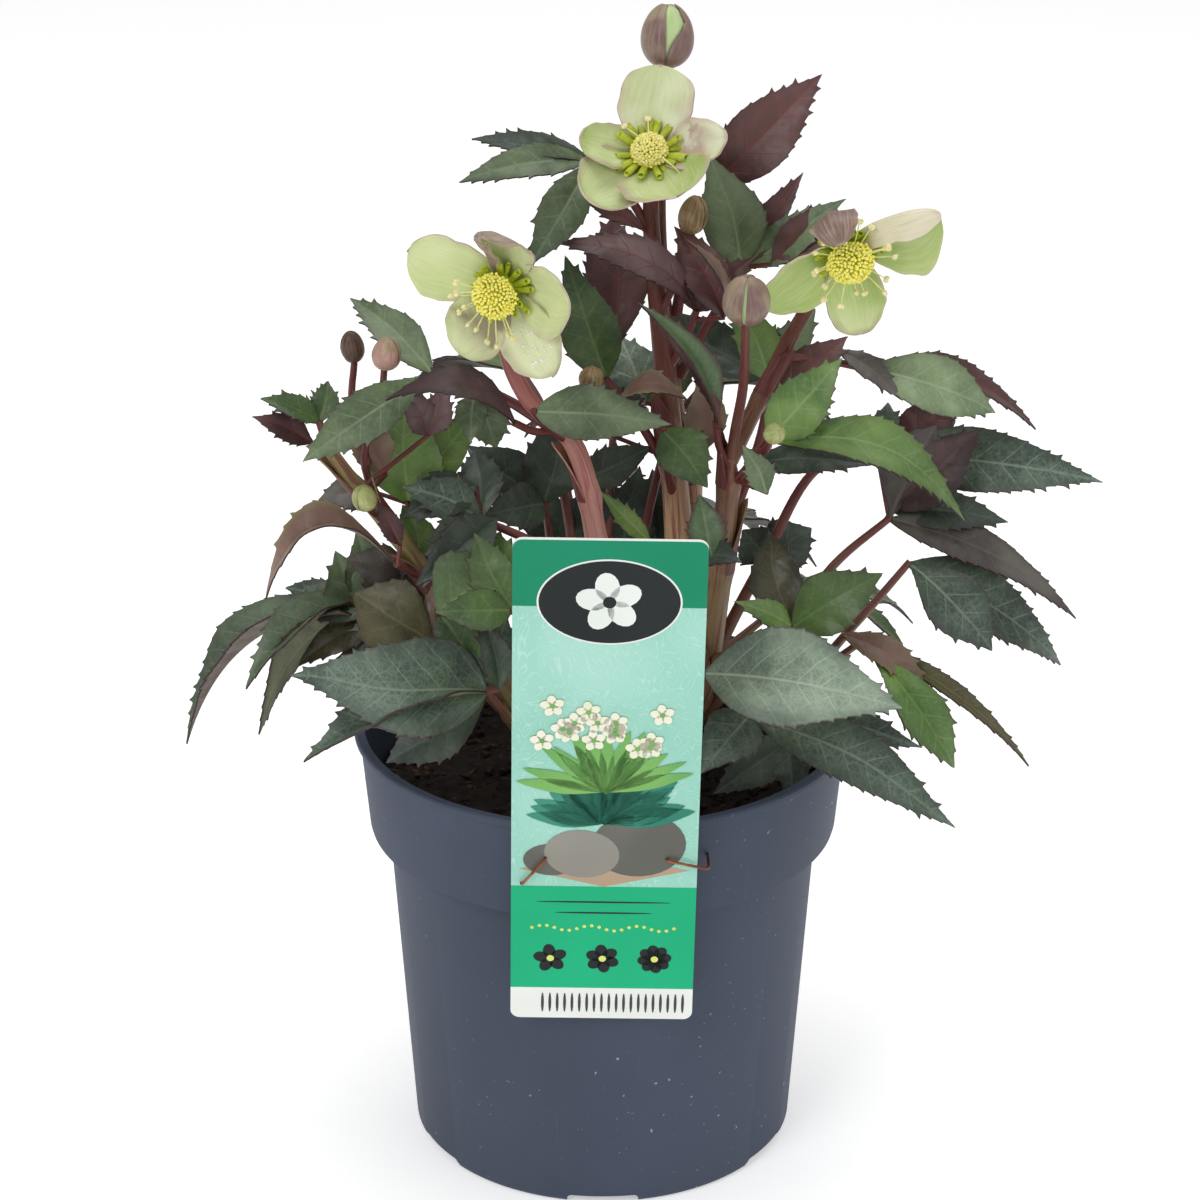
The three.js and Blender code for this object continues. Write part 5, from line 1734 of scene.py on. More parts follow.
def back_leaves(stalk_foot: float = 109, spread: int = 44) -> list[Leaf]:
    """The leaves of the back, drooping outwards, three leaflets each.

    Args:
        stalk_foot: the height where their stalks leave the crown.
        spread: degrees between two leaflets.

    Returns:
        The leaves.
    """
    def spot(degrees: float, distance: float, z: float) -> Point:
        """A point by its turn round the pot."""
        turn = math.radians(degrees)
        return distance * math.cos(turn), distance * math.sin(turn), z

    made = []
    for i, (turn, reach, height) in enumerate(BACK_LEAVES):
        hub = spot(turn, reach, height)
        face = Face.PURPLE if i % 3 == 2 else (Face.DEEP, Face.DARK)[i % 2]
        leaflets = []
        for side in (-spread, 0, spread):
            span = (46 + 4 * ((i * 7) % 3)) * (1.0 if side == 0 else 0.8)
            x, y, _ = spot(turn + side, span, 0)
            tip = (hub[0] + x, hub[1] + y, height - 0.35 * span - (i % 2) * 4)
            leaflets.append(Leaflet(tip, 18 if side == 0 else 14, 7, 20, face, turn))
        knee = stalk_foot + 0.45 * (height - stalk_foot)
        stalk = (spot(turn, 9, stalk_foot), spot(turn, 0.3 * reach, knee),
                 spot(turn, 0.72 * reach, height - 9))
        slot = "leaf_purple" if face is Face.PURPLE else "leaf_green"
        made.append(Leaf(f"leaf_back_{i + 1}", hub, stalk, tuple(leaflets), slot))
    return made


# ---------------------------------------------------------------- blooms
@dataclass(frozen=True)
class Sepal:
    """One sepal: its turn round the bloom, size, rise, pink flush, and how far it bends forwards."""

    turn: float
    length: float
    width: float
    rise: float
    flush: float = 0.25
    bend: float = 0.0                # degrees, from a third of its length to its tip
    drops: int = 0                   # drops of water on it
    curl: float = 0.0                # degrees that its left side folds over, seen from its foot
    skin: SepalFinish | None = None  # where it differs from the rest of the bloom
    back: SepalFinish = SEPAL_BACK
    widest = 0.56                    # how far along it is widest
    fine_points = 101                # points that a fold or a bend is measured at

    def half_width(self, u: Array, swing: Array, phase: Array) -> Array:
        """From a narrow foot to a round tip, with an uneven edge.

        Args:
            u: the share of each point along the sepal.
            swing: its place across, from -1 to 1.
            phase: where the waves of the edge start.

        Returns:
            Half the width at each point.
        """
        foot = np.sin(np.pi / 2 * np.clip(u / self.widest, 0, 1)) ** 0.8
        tip = np.sqrt(1 - np.clip((u - self.widest) / (1 - self.widest), 0, 1) ** 2.3)
        uneven = 1 + 0.035 * np.sin(7 * u + phase[3] + 2 * np.sign(swing))
        uneven = uneven + 0.02 * np.sin(17 * u + phase[4])
        return np.maximum(self.width / 2 * foot * tip * uneven, np.where(u < 0.5, 0.8, 0.02))

    def folded(self, swing: Array, half: Array) -> tuple[Array, Array]:
        """Folds the left side over.

        Args:
            swing: the place of each point across, from -1 to 1.
            half: half the width there.

        Returns:
            The place across after the fold, and how far the fold lifts each point.
        """
        fine = np.linspace(0, 1, self.fine_points)
        fold = np.radians(self.curl) * np.clip((fine - 0.25) / 0.35, 0, 1)
        left = np.clip(swing, 0, 1)
        inwards = np.interp(left, fine, (np.cumsum(np.cos(fold)) - 1) / (self.fine_points - 1))
        over = np.interp(left, fine, np.cumsum(np.sin(fold)) / (self.fine_points - 1)) * half
        return np.where(swing > 0, inwards, swing), over

    def bent(self, u: Array) -> tuple[Array, Array, Array]:
        """Bends the sepal forwards along its length.

        Args:
            u: the share of each point along the sepal.

        Returns:
            How far outwards and how far forwards each point is, and the angle of the bend there.
        """
        fine = np.linspace(0, 1, self.fine_points)
        bend = np.radians(self.bend) * np.clip((fine - 0.35) / 0.65, 0, 1)
        reach = np.interp(u, fine, np.cumsum(np.cos(bend)) * self.length / self.fine_points)
        hood = np.interp(u, fine, np.cumsum(np.sin(bend)) * self.length / self.fine_points)
        return reach, hood, np.interp(u, fine, bend)

    def relief(self, u: Array, swing: Array, spread: Array, half: Array, phase: Array) -> Array:
        """Its cup, the waves of its edge and its soft furrow.

        Args:
            u: the share of each point along the sepal.
            swing: its place across, from -1 to 1.
            spread: the same after the fold.
            half: half the width there.
            phase: where the waves start.

        Returns:
            How far each point stands off the flat.
        """
        edge = np.abs(swing)
        cup = 0.16 * self.width * (0.6 * u**2 + (spread * 2 * half / self.width) ** 2)
        wave = 0.6 * np.sin(2 * np.pi * 1.5 * u + phase[0] + 2 * swing) * edge**3
        wave += 0.4 * np.sin(2 * np.pi * 2.6 * u + phase[1]) * u * swing**2
        wave += 0.25 * np.sin(2 * np.pi * 5 * u + phase[2]) * edge**5
        furrow = -0.5 * np.exp(-((swing * half / 1.6) ** 2)) * np.sin(np.pi * u)
        return cup + wave * np.clip(half / 3, 0, 1) + furrow


@dataclass(frozen=True)
class Bloom:
    """An open bloom: five cupped sepals, a ring of nectaries and a dome of stamens."""

    name: str
    centre: Point
    facing: Point
    sepals: tuple[Sepal, ...]
    skin: SepalFinish
    anthers: PlainFinish
    dome: float                      # reach of the stamens, in millimetres
    nectary_tilt: float
    nectary_size: float
    loose_turns: tuple[float, float]     # where the loose stamens are, in degrees round the bloom
    loose_stamens: int = 12
    stand: float = 0.8               # how far ahead of the nectaries the dome stands
    nectary_count: int = 18
    stamen_count: int = 240
    sepal_thickness = 0.55
    horn_thickness = 0.22

    @property
    def axes(self) -> tuple[Array, Array, Array]:
        """How the bloom is turned.

        Returns:
            The unit ways out of its face, and right and up as seen from the front.
        """
        out = unit(self.facing)
        right = unit(np.cross((0, 0, 1), out))
        return out, right, np.cross(out, right)

    def at(self, ahead: float) -> Array:
        """A point on the bloom's axis, some millimetres ahead of its centre."""
        return np.array(self.centre, float) + ahead * self.axes[0]

    def sepal(self, plan: Sepal, draw: np.random.Generator) -> Piece:
        """Lays one sepal on its place round the bloom.

        Args:
            plan: the sepal.
            draw: the random draws of the bloom.

        Returns:
            The sepal as a thin closed body.
        """
        out, right, up = self.axes
        turn, rise = math.radians(plan.turn), math.radians(plan.rise)
        along = (math.cos(turn) * right + math.sin(turn) * up) * math.cos(rise) + out * math.sin(rise)
        face = unit(out - along * (out @ along))
        side = np.cross(face, along)
        piece, share, across = grid("sepal", 34, 20)
        u = np.sin(np.pi / 2 * share) ** 1.15
        swing = 2 * across - 1
        phase = draw.uniform(0, 2 * np.pi, 5)
        half = plan.half_width(u, swing, phase)
        spread, over = plan.folded(swing, half)
        reach, hood, turned = plan.bent(u)
        lift = plan.relief(u, swing, spread, half, phase) + over
        points = (np.array(self.centre, float) + np.outer(reach - lift * np.sin(turned), along)
                  + np.outer(hood + lift * np.cos(turned), face) + np.outer(spread * half, side))
        write_points(piece, points)
        write_grain(piece, "grain", columns(plan.length * u / 10, swing * plan.width / 20, plan.turn / 10))
        write_grain(piece, "share", columns(u, np.maximum(np.abs(swing), u**6), plan.flush))
        dress(piece, (plan.skin or self.skin).material(), plan.back.material())
        thicken(piece, self.sepal_thickness)
        return piece

    @staticmethod
    def dew_painted_glints(sepal: Piece, count: int, draw: np.random.Generator) -> Piece:
        """Small drops of water on the middle of a sepal's face.

        Args:
            sepal: the sepal that they lie on.
            count: how many there are.
            draw: the random draws of the bloom.

        Returns:
            The drops, painted white as glints of light, as one piece.
        """
        total = len(sepal.data.vertices) // 2
        share, spots = np.empty(6 * total, np.float32), np.empty(6 * total, np.float32)
        sepal.data.attributes["share"].data.foreach_get("vector", share)
        sepal.data.vertices.foreach_get("co", spots)
        far, outwards, _ = share.reshape(-1, 3)[:total].T
        middle = spots.reshape(-1, 3)[:total][(far > 0.4) & (far < 0.85) & (outwards < 0.55)]
        drop = added(bpy.ops.mesh.primitive_uv_sphere_add, segments=8, ring_count=6, radius=0.42 * MM)
        dress(drop, DEW_PAINTED_GLINTS.material())
        places = [Matrix.Translation(Vector(spot)) @ Matrix.Scale(draw.uniform(0.5, 1.1), 4)
                  for spot in draw.choice(middle, count)]
        return copies("dew_painted_glints", drop, places)

    def build_sepals(self, draw: np.random.Generator) -> None:
        """The sepals on their receptacle.

        Args:
            draw: the random draws of the bloom.
        """
        parts = [self.sepal(plan, draw) for plan in self.sepals]
        parts += [self.dew_painted_glints(part, plan.drops, draw) for plan, part in zip(self.sepals, parts) if plan.drops]
        seat = tube("receptacle", np.linspace(self.at(-2.6), self.at(0.6), 8),
                    lambda share, angle: 2 + share + 0.5 * np.sin(np.pi * share), 16)
        dress(seat, SEPAL_BACK.material())
        whole = join(self.name + "_petals", [*parts, seat])
        smooth(whole, 60)
        settle(whole, "sepal", self.name + "_sepals")

    def build_nectaries(self, draw: np.random.Generator) -> None:
        """A ring of flattened, open-mouthed horns.

        Args:
            draw: the random draws of the bloom.
        """
        piece, along, around = grid("nectary", 8, 12)
        angle = 2 * np.pi * around
        swell = np.interp(along, [0, 0.3, 0.8, 1], [0.4, 0.8, 1.05, 0.8])
        lip = 1.6 * np.clip(along - 0.7, 0, 1) * np.cos(angle)
        points = columns(0.55 * swell * np.cos(angle) + 0.5 * along**2, 0.85 * swell * np.sin(angle),
                         6 * along + lip)
        write_points(piece, points)
        merge_seams(piece)
        dress(piece, NECTARY.material(), NECTARY_MOUTH.material())
        thicken(piece, self.horn_thickness)
        out, right, up = self.axes
        stand = Matrix([[*row, 0] for row in np.stack([right, up, out], 1)] + [[0, 0, 0, 1]])
        places = []
        for i in range(self.nectary_count):
            turn = 360 / self.nectary_count * (i + 0.5) + draw.normal(0, 5)
            tilt = self.nectary_tilt + draw.normal(0, 10)
            size = self.nectary_size * draw.uniform(0.78, 1.15)
            places.append(
                Matrix.Translation(Vector(self.at(2.3)) * MM) @ stand
                @ Matrix.Rotation(math.radians(turn), 4, "Z") @ Matrix.Translation((3.4 * MM, 0, 0))
                @ Matrix.Rotation(math.radians(tilt), 4, "Y") @ Matrix.Scale(size, 4))
        ring = tube("nectary_seat", np.linspace(self.at(0.7), self.at(3.2), 6),
                    lambda share, angle: 3.6 + 0.5 * np.sin(np.pi * share), 18)
        dress(ring, NECTARY.material())
        whole = join(self.name + "_horns", [copies("horns", piece, places), ring])
        smooth(whole, 60)
        settle(whole, "nectary", self.name + "_nectaries")

    def anther(self, finish: PlainFinish, hands: tuple[int, ...]) -> Piece:
        """One anther standing on the origin.

        Args:
            finish: its finish.
            hands: the sides that its lobes are on: (0,) for one bead, (-1, 1) for two lobes.

        Returns:
            The anther.
        """
        lobes = []
        for hand in hands:
            lobe = added(bpy.ops.mesh.primitive_uv_sphere_add, segments=6, ring_count=5, radius=1)
            lobe.data.transform(Matrix.Translation((hand * 0.3 * MM, 0, 0.5 * MM)) @ Matrix.Diagonal(
                (0.49 * MM, 0.49 * MM, 0.64 * MM, 1)))
            lobes.append(lobe)
        return dress(join("anther", lobes), finish.material())

    def build_stamens(self, draw: np.random.Generator) -> None:
        """The dome of stamens, with some loose ones that hang outwards.

        Args:
            draw: the random draws of the bloom.
        """
        out, right, up = self.axes
        foot, seat = self.at(1.2), self.at(1.2 + self.stand)
        filaments, anthers, spent = [], [], []
        golden = math.pi * (3 - math.sqrt(5))

        def direction(spread: float, turn: float) -> Array:
            """A way out from the bloom's middle."""
            aside = math.cos(turn) * right + math.sin(turn) * up
            return math.cos(spread) * out + math.sin(spread) * aside

        for i in range(self.stamen_count):
            spread = math.radians(74) * math.sqrt((i + 0.5) / self.stamen_count)
            way = direction(spread, i * golden)
            reach = self.dome * draw.uniform(0.92, 1.08) + 1.2 * math.cos(spread)
            tip = seat + reach * way
            spin = facing(way + draw.normal(0, 0.2, 3), draw.uniform(0, 180))
            anthers.append(Matrix.Translation(Vector(tip) * MM) @ spin)
            if i % 2 or i > self.stamen_count * 0.6:
                root = foot + 1.2 * way
                filaments.append((np.linspace(root, tip, 3), 0.16))
        for i in range(self.loose_stamens):
            first, last = self.loose_turns
            turn = math.radians(first + (last - first) * (i + draw.uniform(0, 1)) / self.loose_stamens)
            spread = math.radians(draw.uniform(52, 84))
            way = direction(spread, turn)
            reach = draw.uniform(9, 13)
            drop = np.array([0, 0, -draw.uniform(0.6, 2.4)])
            start = (foot + seat) / 2
            knee = start + 0.5 * reach * direction(spread * 0.72, turn)
            tip = start + reach * way + drop
            line = smooth_route([tuple(start + way), tuple(knee), tuple(tip)], 7)
            filaments.append((line, 0.19))
            spent.append(Matrix.Translation(Vector(line[-1]) * MM) @ facing(line[-1] - line[-2], 40 * i)
                         @ Matrix.Scale(1.3, 4))
        threads = [tube("filament", line, lambda share, angle, r=radius: np.full_like(share, r), 5)
                   for line, radius in filaments]
        span = self.stand + self.dome + 0.4

        def bulge(share: Array, angle: Array) -> Array:
            """The radius of the core.

            Args:
                share: share of the way along it.
                angle: place round it.

            Returns:
                The radius at each point.
            """
            ahead = np.clip((share * span - self.stand) / (self.dome + 0.4), 0, 1)
            below = np.clip(share * span / (self.stand + 1), 0, 1)
            return (2 + (self.dome - 3) * below) * np.sqrt(1.02 - ahead**2)

        core = tube("core", np.linspace(foot, foot + span * out, 16), bulge, 20)
        dress(core, COLUMN.material())
        for thread in threads:
            dress(thread, FILAMENT.material())
        whole = join(self.name + "_centre", [
            core, *threads, copies("anthers", self.anther(self.anthers, (0,)), anthers),
            copies("spent", self.anther(ANTHER_SPENT, (-1, 1)), spent)])
        smooth(whole, 70)
        settle(whole, "stamen", self.name + "_stamens")

    def build(self, number: int) -> None:
        """The three pieces of the bloom.

        Args:
            number: which bloom it is, for its random draws.
        """
        draw = np.random.default_rng(SEED * 1000 + number)
        self.build_sepals(draw)
        self.build_nectaries(draw)
        self.build_stamens(draw)


BLOOMS = (
    Bloom("bloom_top", (12.3, -6, 290), (-0.06, -0.74, 0.67), (
        Sepal(84, 24, 19.8, 16, 0.3, skin=SEPAL_PINKED), Sepal(178, 19.8, 12.5, 20, 0.2, 10),
        Sepal(226, 22.5, 19, 12, 0.1), Sepal(297, 21, 24, 20, 0.1, 10),
        Sepal(4, 22.3, 13.5, 18, 1.5, 10, skin=SEPAL_PINKED)),
        SEPAL_MID, ANTHER_PALE, 3.8, 78, 1.05, (0, 360), 3),
    Bloom("bloom_left", (-25, -28, 261.5), (-0.42, -0.9, -0.1), (
        Sepal(161, 27, 18.5, 10, 0.0), Sepal(88, 27, 22, 8, 0.1, 75, curl=160, back=SEPAL_DUSKY),
        Sepal(0, 24, 20, 10, 0.15, 20),
        Sepal(304, 26, 18, 8, 0.0, drops=46), Sepal(236, 23, 16.5, 8, 1.3, 10)),
        SEPAL_PALE, ANTHER, 5.2, 64, 0.9, (140, 310), 11, 3.4),
    Bloom("bloom_right", (63, -20, 270), (0.14, -0.95, -0.32), (
        Sepal(218, 26.5, 15, 6, 0.05), Sepal(283, 26.5, 15.5, 6, 0.0),
        Sepal(27, 26, 27, 4, 0.1, curl=150, back=SEPAL_FOLD),
        Sepal(114, 28, 13, 8, 0.2, 140, back=SEPAL_DUSKY)),
        SEPAL_FRESH, ANTHER, 5.2, 66, 0.92, (-30, 330), 17, 3.8),
)


# ---------------------------------------------------------------- buds
@dataclass(frozen=True)
class Bud:
    """A closed bud: overlapping outer sepals round a green heart that shows at a slit."""

    name: str
    centre: Point
    axis: Point
    radius: float
    length: float
    skin: SepalFinish
    slit_turn: float = FRONT         # degrees round the axis where the slit is
    slit_top: float = 14             # degrees that the slit is open at the tip, on each side
    slit_foot: float = 2             # and at the foot
    slit_rise: float = 1.6           # how late it opens on its way up
    gape: float = 0.0                # how much lower the sepal on the right of the slit ends
    skew: float = 1.0                # how far the sepal on its left opens, as a share of the other
    widest = 62                      # degrees that a slit opens at most, on each side

    def shell(self, low: float, high: float, raise_low: float, raise_high: float, swing: float) -> Rule:
        """The rule of one outer sepal.

        Args:
            low: where it starts round the axis, in degrees from the slit.
            high: where it ends.
            raise_low: how far its first edge stands off the heart.
            raise_high: how far its last edge does.
            swing: 1 if the slit is at its first edge, -1 at its last and 0 if at neither.

        Returns:
            The place of each point by its share along and across, in the bud's own frame.
        """
        def rule(along: Array, across: Array) -> Array:
            """The place of each point.

            Args:
                along: share of the way from foot to tip.
                across: share of the way from the first edge to the last.

            Returns:
                One row for each point.
            """
            open_now = self.slit_foot + (self.slit_top - self.slit_foot) * along**self.slit_rise
            open_now = np.minimum(open_now, self.widest)
            start = low + (open_now if swing > 0 else 0)
            end = high - (open_now * self.skew if swing < 0 else 0)
            angle = np.radians(self.slit_turn + start + (end - start) * across)
            stand = raise_low + (raise_high - raise_low) * across
            near = (1 - across) ** 1.5 if swing > 0 else 0.5 if swing == 0 else -0.35 * across
            return self.egg(along * (1 - self.gape * (0.4 + near)), angle, stand)
        return rule

    def egg(self, along: Array, angle: Array, stand: Array) -> Array:
        """Points on the bud's egg shape.

        Args:
            along: share of the way from foot to tip.
            angle: place round the axis, in radians.
            stand: how far the points stand off the egg.

        Returns:
            One row for each point.
        """
        polar = np.pi * (0.02 + 0.97 * along)
        reach = self.radius * 0.88 * np.sin(polar) * (1 + 0.12 * np.cos(polar))
        reach = reach + stand * np.sin(polar) ** 0.5
        height = -self.length / 2 * 0.97 * np.cos(polar) + 0.25 * stand * along
        return columns(reach * np.cos(angle), reach * np.sin(angle), height)

    def build(self) -> None:
        """The bud's piece."""
        skin = self.skin.material()
        heart_skin = BUD_HEART.material()
        thick = 0.045 * self.radius
        rules = [
            self.shell(0, 118, 0.03 * self.radius, 0.1 * self.radius, 1),
            self.shell(242, 360, 0.1 * self.radius, 0.03 * self.radius, -1),
            self.shell(92, 205, 0.01 * self.radius, 0.045 * self.radius, 0),
            self.shell(160, 268, 0.12 * self.radius, 0.0, 0),
        ]
        parts = []
        for number, rule in enumerate(rules):
            piece, along, across = grid("bud_sepal", 20, 14)
            write_points(piece, rule(along, 1 - across))
            write_grain(piece, "grain", columns(along * 2, across * self.radius / 4, number))
            edge = np.maximum(np.abs(2 * across - 1) ** 4, 0.8 * along**5)
            write_grain(piece, "share", columns(along, edge, 0.4))
            dress(piece, skin, skin, skin)
            apply_modifier(piece, "SOLIDIFY", thickness=thick * MM, offset=1.0)
            parts.append(piece)
        heart, along, around = grid("bud_heart", 18, 24)
        write_points(heart, self.egg(along, -2 * np.pi * around, np.full_like(along, -0.01 * self.radius)))
        write_grain(heart, "grain", columns(along * 2, around, 0))
        write_grain(heart, "share", columns(0.5 + along * 0.5, 0, 0))
        merge_seams(heart)
        parts.append(dress(heart, heart_skin))
        whole = join(self.name + "_sepals", parts)
        place = Matrix.Translation(Vector(self.centre) * MM) @ facing(self.axis)
        whole.data.transform(place)
        smooth(whole, 60)
        settle(whole, "bud_green" if self.skin is BUD_OLIVE else "bud_pink", self.name)

    @property
    def seat(self) -> Point:
        """Where the bud's stalk ends."""
        return tuple(np.array(self.centre, float) - unit(self.axis) * (self.length / 2 - 0.4))


BUDS = {bud.name: bud for bud in (
    Bud("bud_top", (17, 11, 318), (0.02, 0, 1), 7, 17, BUD_MAUVE, -94, 130, 0.5, 4.6, 0.16, 0.12),
    Bud("bud_round", (37, -35, 260), (0.02, -0.25, 1), 6.2, 13.4, BUD_MAUVE, -98, 6, 4, 1.2),
    Bud("bud_small_right", (45, -35, 223.5), (0.3, -0.8, 0.5), 2.9, 6.4, BUD_OLIVE, -60, 3, 1),
    Bud("bud_under_top", (24, -2, 273), (0.2, -0.2, 1), 4, 11, BUD_TAN, -40, 10, 1),
    Bud("bud_middle", (-3, -27, 236), (0.1, -0.5, 1), 3.3, 7, BUD_TAN, -80, 6, 6),
    Bud("bud_left_pink", (-57, -19, 240), (0.2, -0.1, 1), 4, 9, BUD_ROSY, -30, 10, 1),
    Bud("bud_left_dark", (-66.5, -13, 240), (-0.1, -0.1, 1), 3.2, 9, BUD_DRY, 60, 10, 1),
    Bud("bud_left_low", (-63, -34, 205), (-0.2, -0.3, 0.9), 3.3, 7.5, BUD_OLIVE, -120, 8, 1),
)}


# ---------------------------------------------------------------- stems
@dataclass(frozen=True)
class Stem:
    """A grown stem: a route, its thickness at both ends, and its joints."""

    route: tuple[Point, ...]
    foot_radius: float
    top_radius: float
    joints: tuple[float, ...] = ()
    skin: StemFinish = LEAF_STALK
    slender: float = 1.0             # what is left of its thickness above the last joint

    @property
    def length(self) -> float:
        """The length of its route."""
        return float(np.linalg.norm(np.diff(np.array(self.route), axis=0), axis=1).sum())

    def sheath(self, joint: float, turn: float) -> Piece:
        """The base of a fallen bract that clasps the stem at a joint and ends in a point.

        Args:
            joint: where it sits, as a share along the stem.
            turn: degrees round the stem where its point is.

        Returns:
            The sheath.
        """
        steps = 60
        line = smooth_route(self.route, steps)
        first, second = travelling_axes(line)
        radius = self.foot_radius + (self.top_radius - self.foot_radius) * joint
        tall = 4.5 * radius + 6
        piece, along, across = grid("sheath", 16, 12)
        row = np.clip(joint * steps + along * tall / self.length * steps, 0, steps)
        cell = np.minimum(row.astype(int), steps - 1)
        rest = (row - cell)[:, None]
        middle = line[cell] * (1 - rest) + line[cell + 1] * rest
        angle = math.radians(turn) + (2 * across - 1) * 1.7 * (1 - along) ** 0.75
        reach = radius * (1.0 + 0.1 * along) + 0.35 + 1.6 * along**3
        points = middle + first[cell] * (reach * np.cos(angle))[:, None] + second[cell] * (
            reach * np.sin(angle))[:, None]
        write_points(piece, points)
        write_grain(piece, "grain", columns(along * tall, 3 * np.cos(angle), 3 * np.sin(angle)) / 10)
        dress(piece, SHEATH_FACE.material(), LEAF_STALK.material(), self.skin.material())
        thicken(piece, 0.45)
        smooth(piece)
        return piece

    def build(self, sides: int = 18, ribs: int = 5) -> Piece:
        """Rolls the stem along its route, faintly ribbed and swollen at its joints.

        Args:
            sides: faces round it.
            ribs: ribs round it.

        Returns:
            The stem.
        """
        length = self.length
        line = smooth_route(self.route, max(8, round(length / 3)))

        def girth(share: Array, angle: Array) -> Array:
            """The radius of the stem.

            Args:
                share: share of the way along it.
                angle: place round it, in radians.

            Returns:
                The radius at each point.
            """
            radius = self.foot_radius + (self.top_radius - self.foot_radius) * share
            if self.joints:
                above = np.clip((share - self.joints[-1]) * length / 6, 0, 1)
                radius = radius * (1 - (1 - self.slender) * above)
            swell = sum(np.exp(-(((share - joint) * length / 3.2) ** 2)) for joint in self.joints) * 0.22
            ridge = 0.05 * np.cos(ribs * angle + 3 * share) + 0.025 * np.cos(2 * ribs * angle + 1)
            return radius * (1 + swell + ridge)

        return dress(tube("stem", line, girth, sides), self.skin.material())


@dataclass
class Stems:
    """The crown and all that grows up from it, as one grown piece."""

    leaves: Sequence[Leaf]
    soil_top: float
    crown_radius: float = 20

    @staticmethod
    def bloom_end(bloom: Bloom) -> tuple[Point, Point]:
        """The last two points of a bloom's stalk, which comes in from behind."""
        return tuple(bloom.at(-8.9)), tuple(bloom.at(-2.2))

    def main_stems(self) -> list[Stem]:
        """The six strong stems.

        Returns:
            The stems of the top bloom, the top bud, the round bud, the right bloom and the left
            bloom, and the striped stem on the left.
        """
        top, left, right = BLOOMS
        return [
            Stem(((6, 2, 96), (20, 2, 135), (21, 0, 174), (17, 0, 226), (13, 4, 268), *self.bloom_end(top)),
                 5.5, 1.8, (0.2, 0.55), STEM_RUST),
            Stem(((8, 6, 96), (25, 9, 145), (25, 9, 182), (19.5, 12, 223), (15.8, 13, 265),
                  BUDS["bud_top"].seat), 4.2, 1.6, (0.3, 0.46), STEM_RUST, 0.62),
            Stem(((8, -4, 96), (26, -4, 135), (31, -8, 165), (35, -16, 214), (37, -25, 234),
                  BUDS["bud_round"].seat), 5, 1.9, (0.25, 0.5, 0.66), STEM_OLIVE, 0.55),
            Stem(((34, -14, 208), (49, -6, 238), (57, -10, 256), *self.bloom_end(right)), 2.4, 1.5, (0.25,),
                 STEM_RUST),
            Stem(((-2, -4, 96), (3, -12, 140), (-2, -20, 189), (-8, -22, 216), (-20, -20, 228),
                  (-26, -18, 244), *self.bloom_end(left)), 4.5, 1.6, (0.3, 0.58), STEM_PINK),
            Stem(((-6, -2, 96), (-20, -9, 124), (-31, -15, 146), (-44, -18, 169), (-54, -20, 187),
                  (-65, -23, 203), (-73, -24, 215.5)), 4.5, 1.8, (0.3, 0.62, 0.78, 0.9), STEM_STRIPED),
        ]

    def bud_stalks(self) -> list[Stem]:
        """The thin stalks of the small buds.

        Returns:
            One stalk for each small bud.
        """
        routes = {
            "bud_small_right": ((38, -22, 213), (43, -30, 217)),
            "bud_under_top": ((16, 1, 246), (21, -1, 258)),
            "bud_middle": ((-9, -22, 219), (-4, -26, 226)),
            "bud_left_pink": ((-57, -20, 191), (-64, -17, 209), (-59, -18, 226)),
            "bud_left_dark": ((-63, -17, 208), (-67, -14, 224)),
            "bud_left_low": ((-58, -21, 193), (-61, -29, 199)),
        }
        return [Stem((*route, BUDS[name].seat), 1.15, 0.9) for name, route in routes.items()]

    def stump(self) -> list[Piece]:
        """The stalk that was cut back.

        Returns:
            The stalk and its pale cut face.
        """
        foot, top = np.array((-22, -10, 130.0)), np.array((-40, -21, 172.0))
        stalk = tube("stump", np.linspace(foot, top, 16), lambda share, angle: 3 + 0.5 * share, 20)
        face = tube("stump_face", np.linspace(top, top + 0.25 * unit(top - foot), 4),
                    lambda share, angle: np.full_like(share, 2.9), 20)
        return [dress(stalk, STEM_OLIVE.material()), dress(face, CUT_FACE.material())]

    def crown(self) -> Piece:
        """The woody crown: a low knobbly dome that stands in the soil.

        Returns:
            The crown.
        """
        draw = np.random.default_rng(SEED + 9)
        piece, along, around = grid("crown", 22, 60)
        angle = -2 * np.pi * around
        shares = [0, 0.45, 0.6, 0.8, 1]
        wide, top = self.crown_radius, self.soil_top
        radius = np.interp(along, shares, [0, wide - 3, wide, wide - 1, 0])
        height = np.interp(along, shares, [top + 5, top + 3, top - 2, top - 24, top - 26])
        knobs = sum(np.sin(k * angle + p) for k, p in zip((3, 5, 8, 13), draw.uniform(0, 6, 4)))
        radius *= 1 + 0.03 * knobs * np.sin(np.pi * along)
        height += 0.5 * knobs * np.sin(np.pi * np.clip(along / 0.6, 0, 1))
        write_points(piece, columns(radius * np.cos(angle), radius * np.sin(angle), height))
        write_grain(piece, "grain", columns(height / 10, np.cos(angle), np.sin(angle)))
        merge_seams(piece)
        smooth(piece, 70)
        return dress(piece, StemFinish("crown_bark", "4a3a2c", "5a4636", "2f241c", 200).material())

    @staticmethod
    def stalk(leaf: Leaf, spines: Array) -> Stem:
        """The stalk of a leaf.

        Args:
            leaf: the leaf that it carries.
            spines: points along the stems and the stalks that have a route.

        Returns:
            Its stalk by its own route, or else from the nearest point below it on a stem.
        """
        hub = np.array(leaf.hub, float)
        if leaf.extra:
            below = spines[spines[:, 2] < hub[2] - 2]
            foot = below[np.linalg.norm(below - hub, axis=1).argmin()]
            return Stem((tuple(foot), leaf.hub), 0.7, 0.6)
        tip = hub + 0.6 * unit(hub - np.array(leaf.stalk[-1], float))
        reach = float(np.linalg.norm(tip - np.array(leaf.stalk[0], float)))
        return Stem((*leaf.stalk, tuple(tip)), min(max(reach / 22, 1.1), 1.9), 1.0)

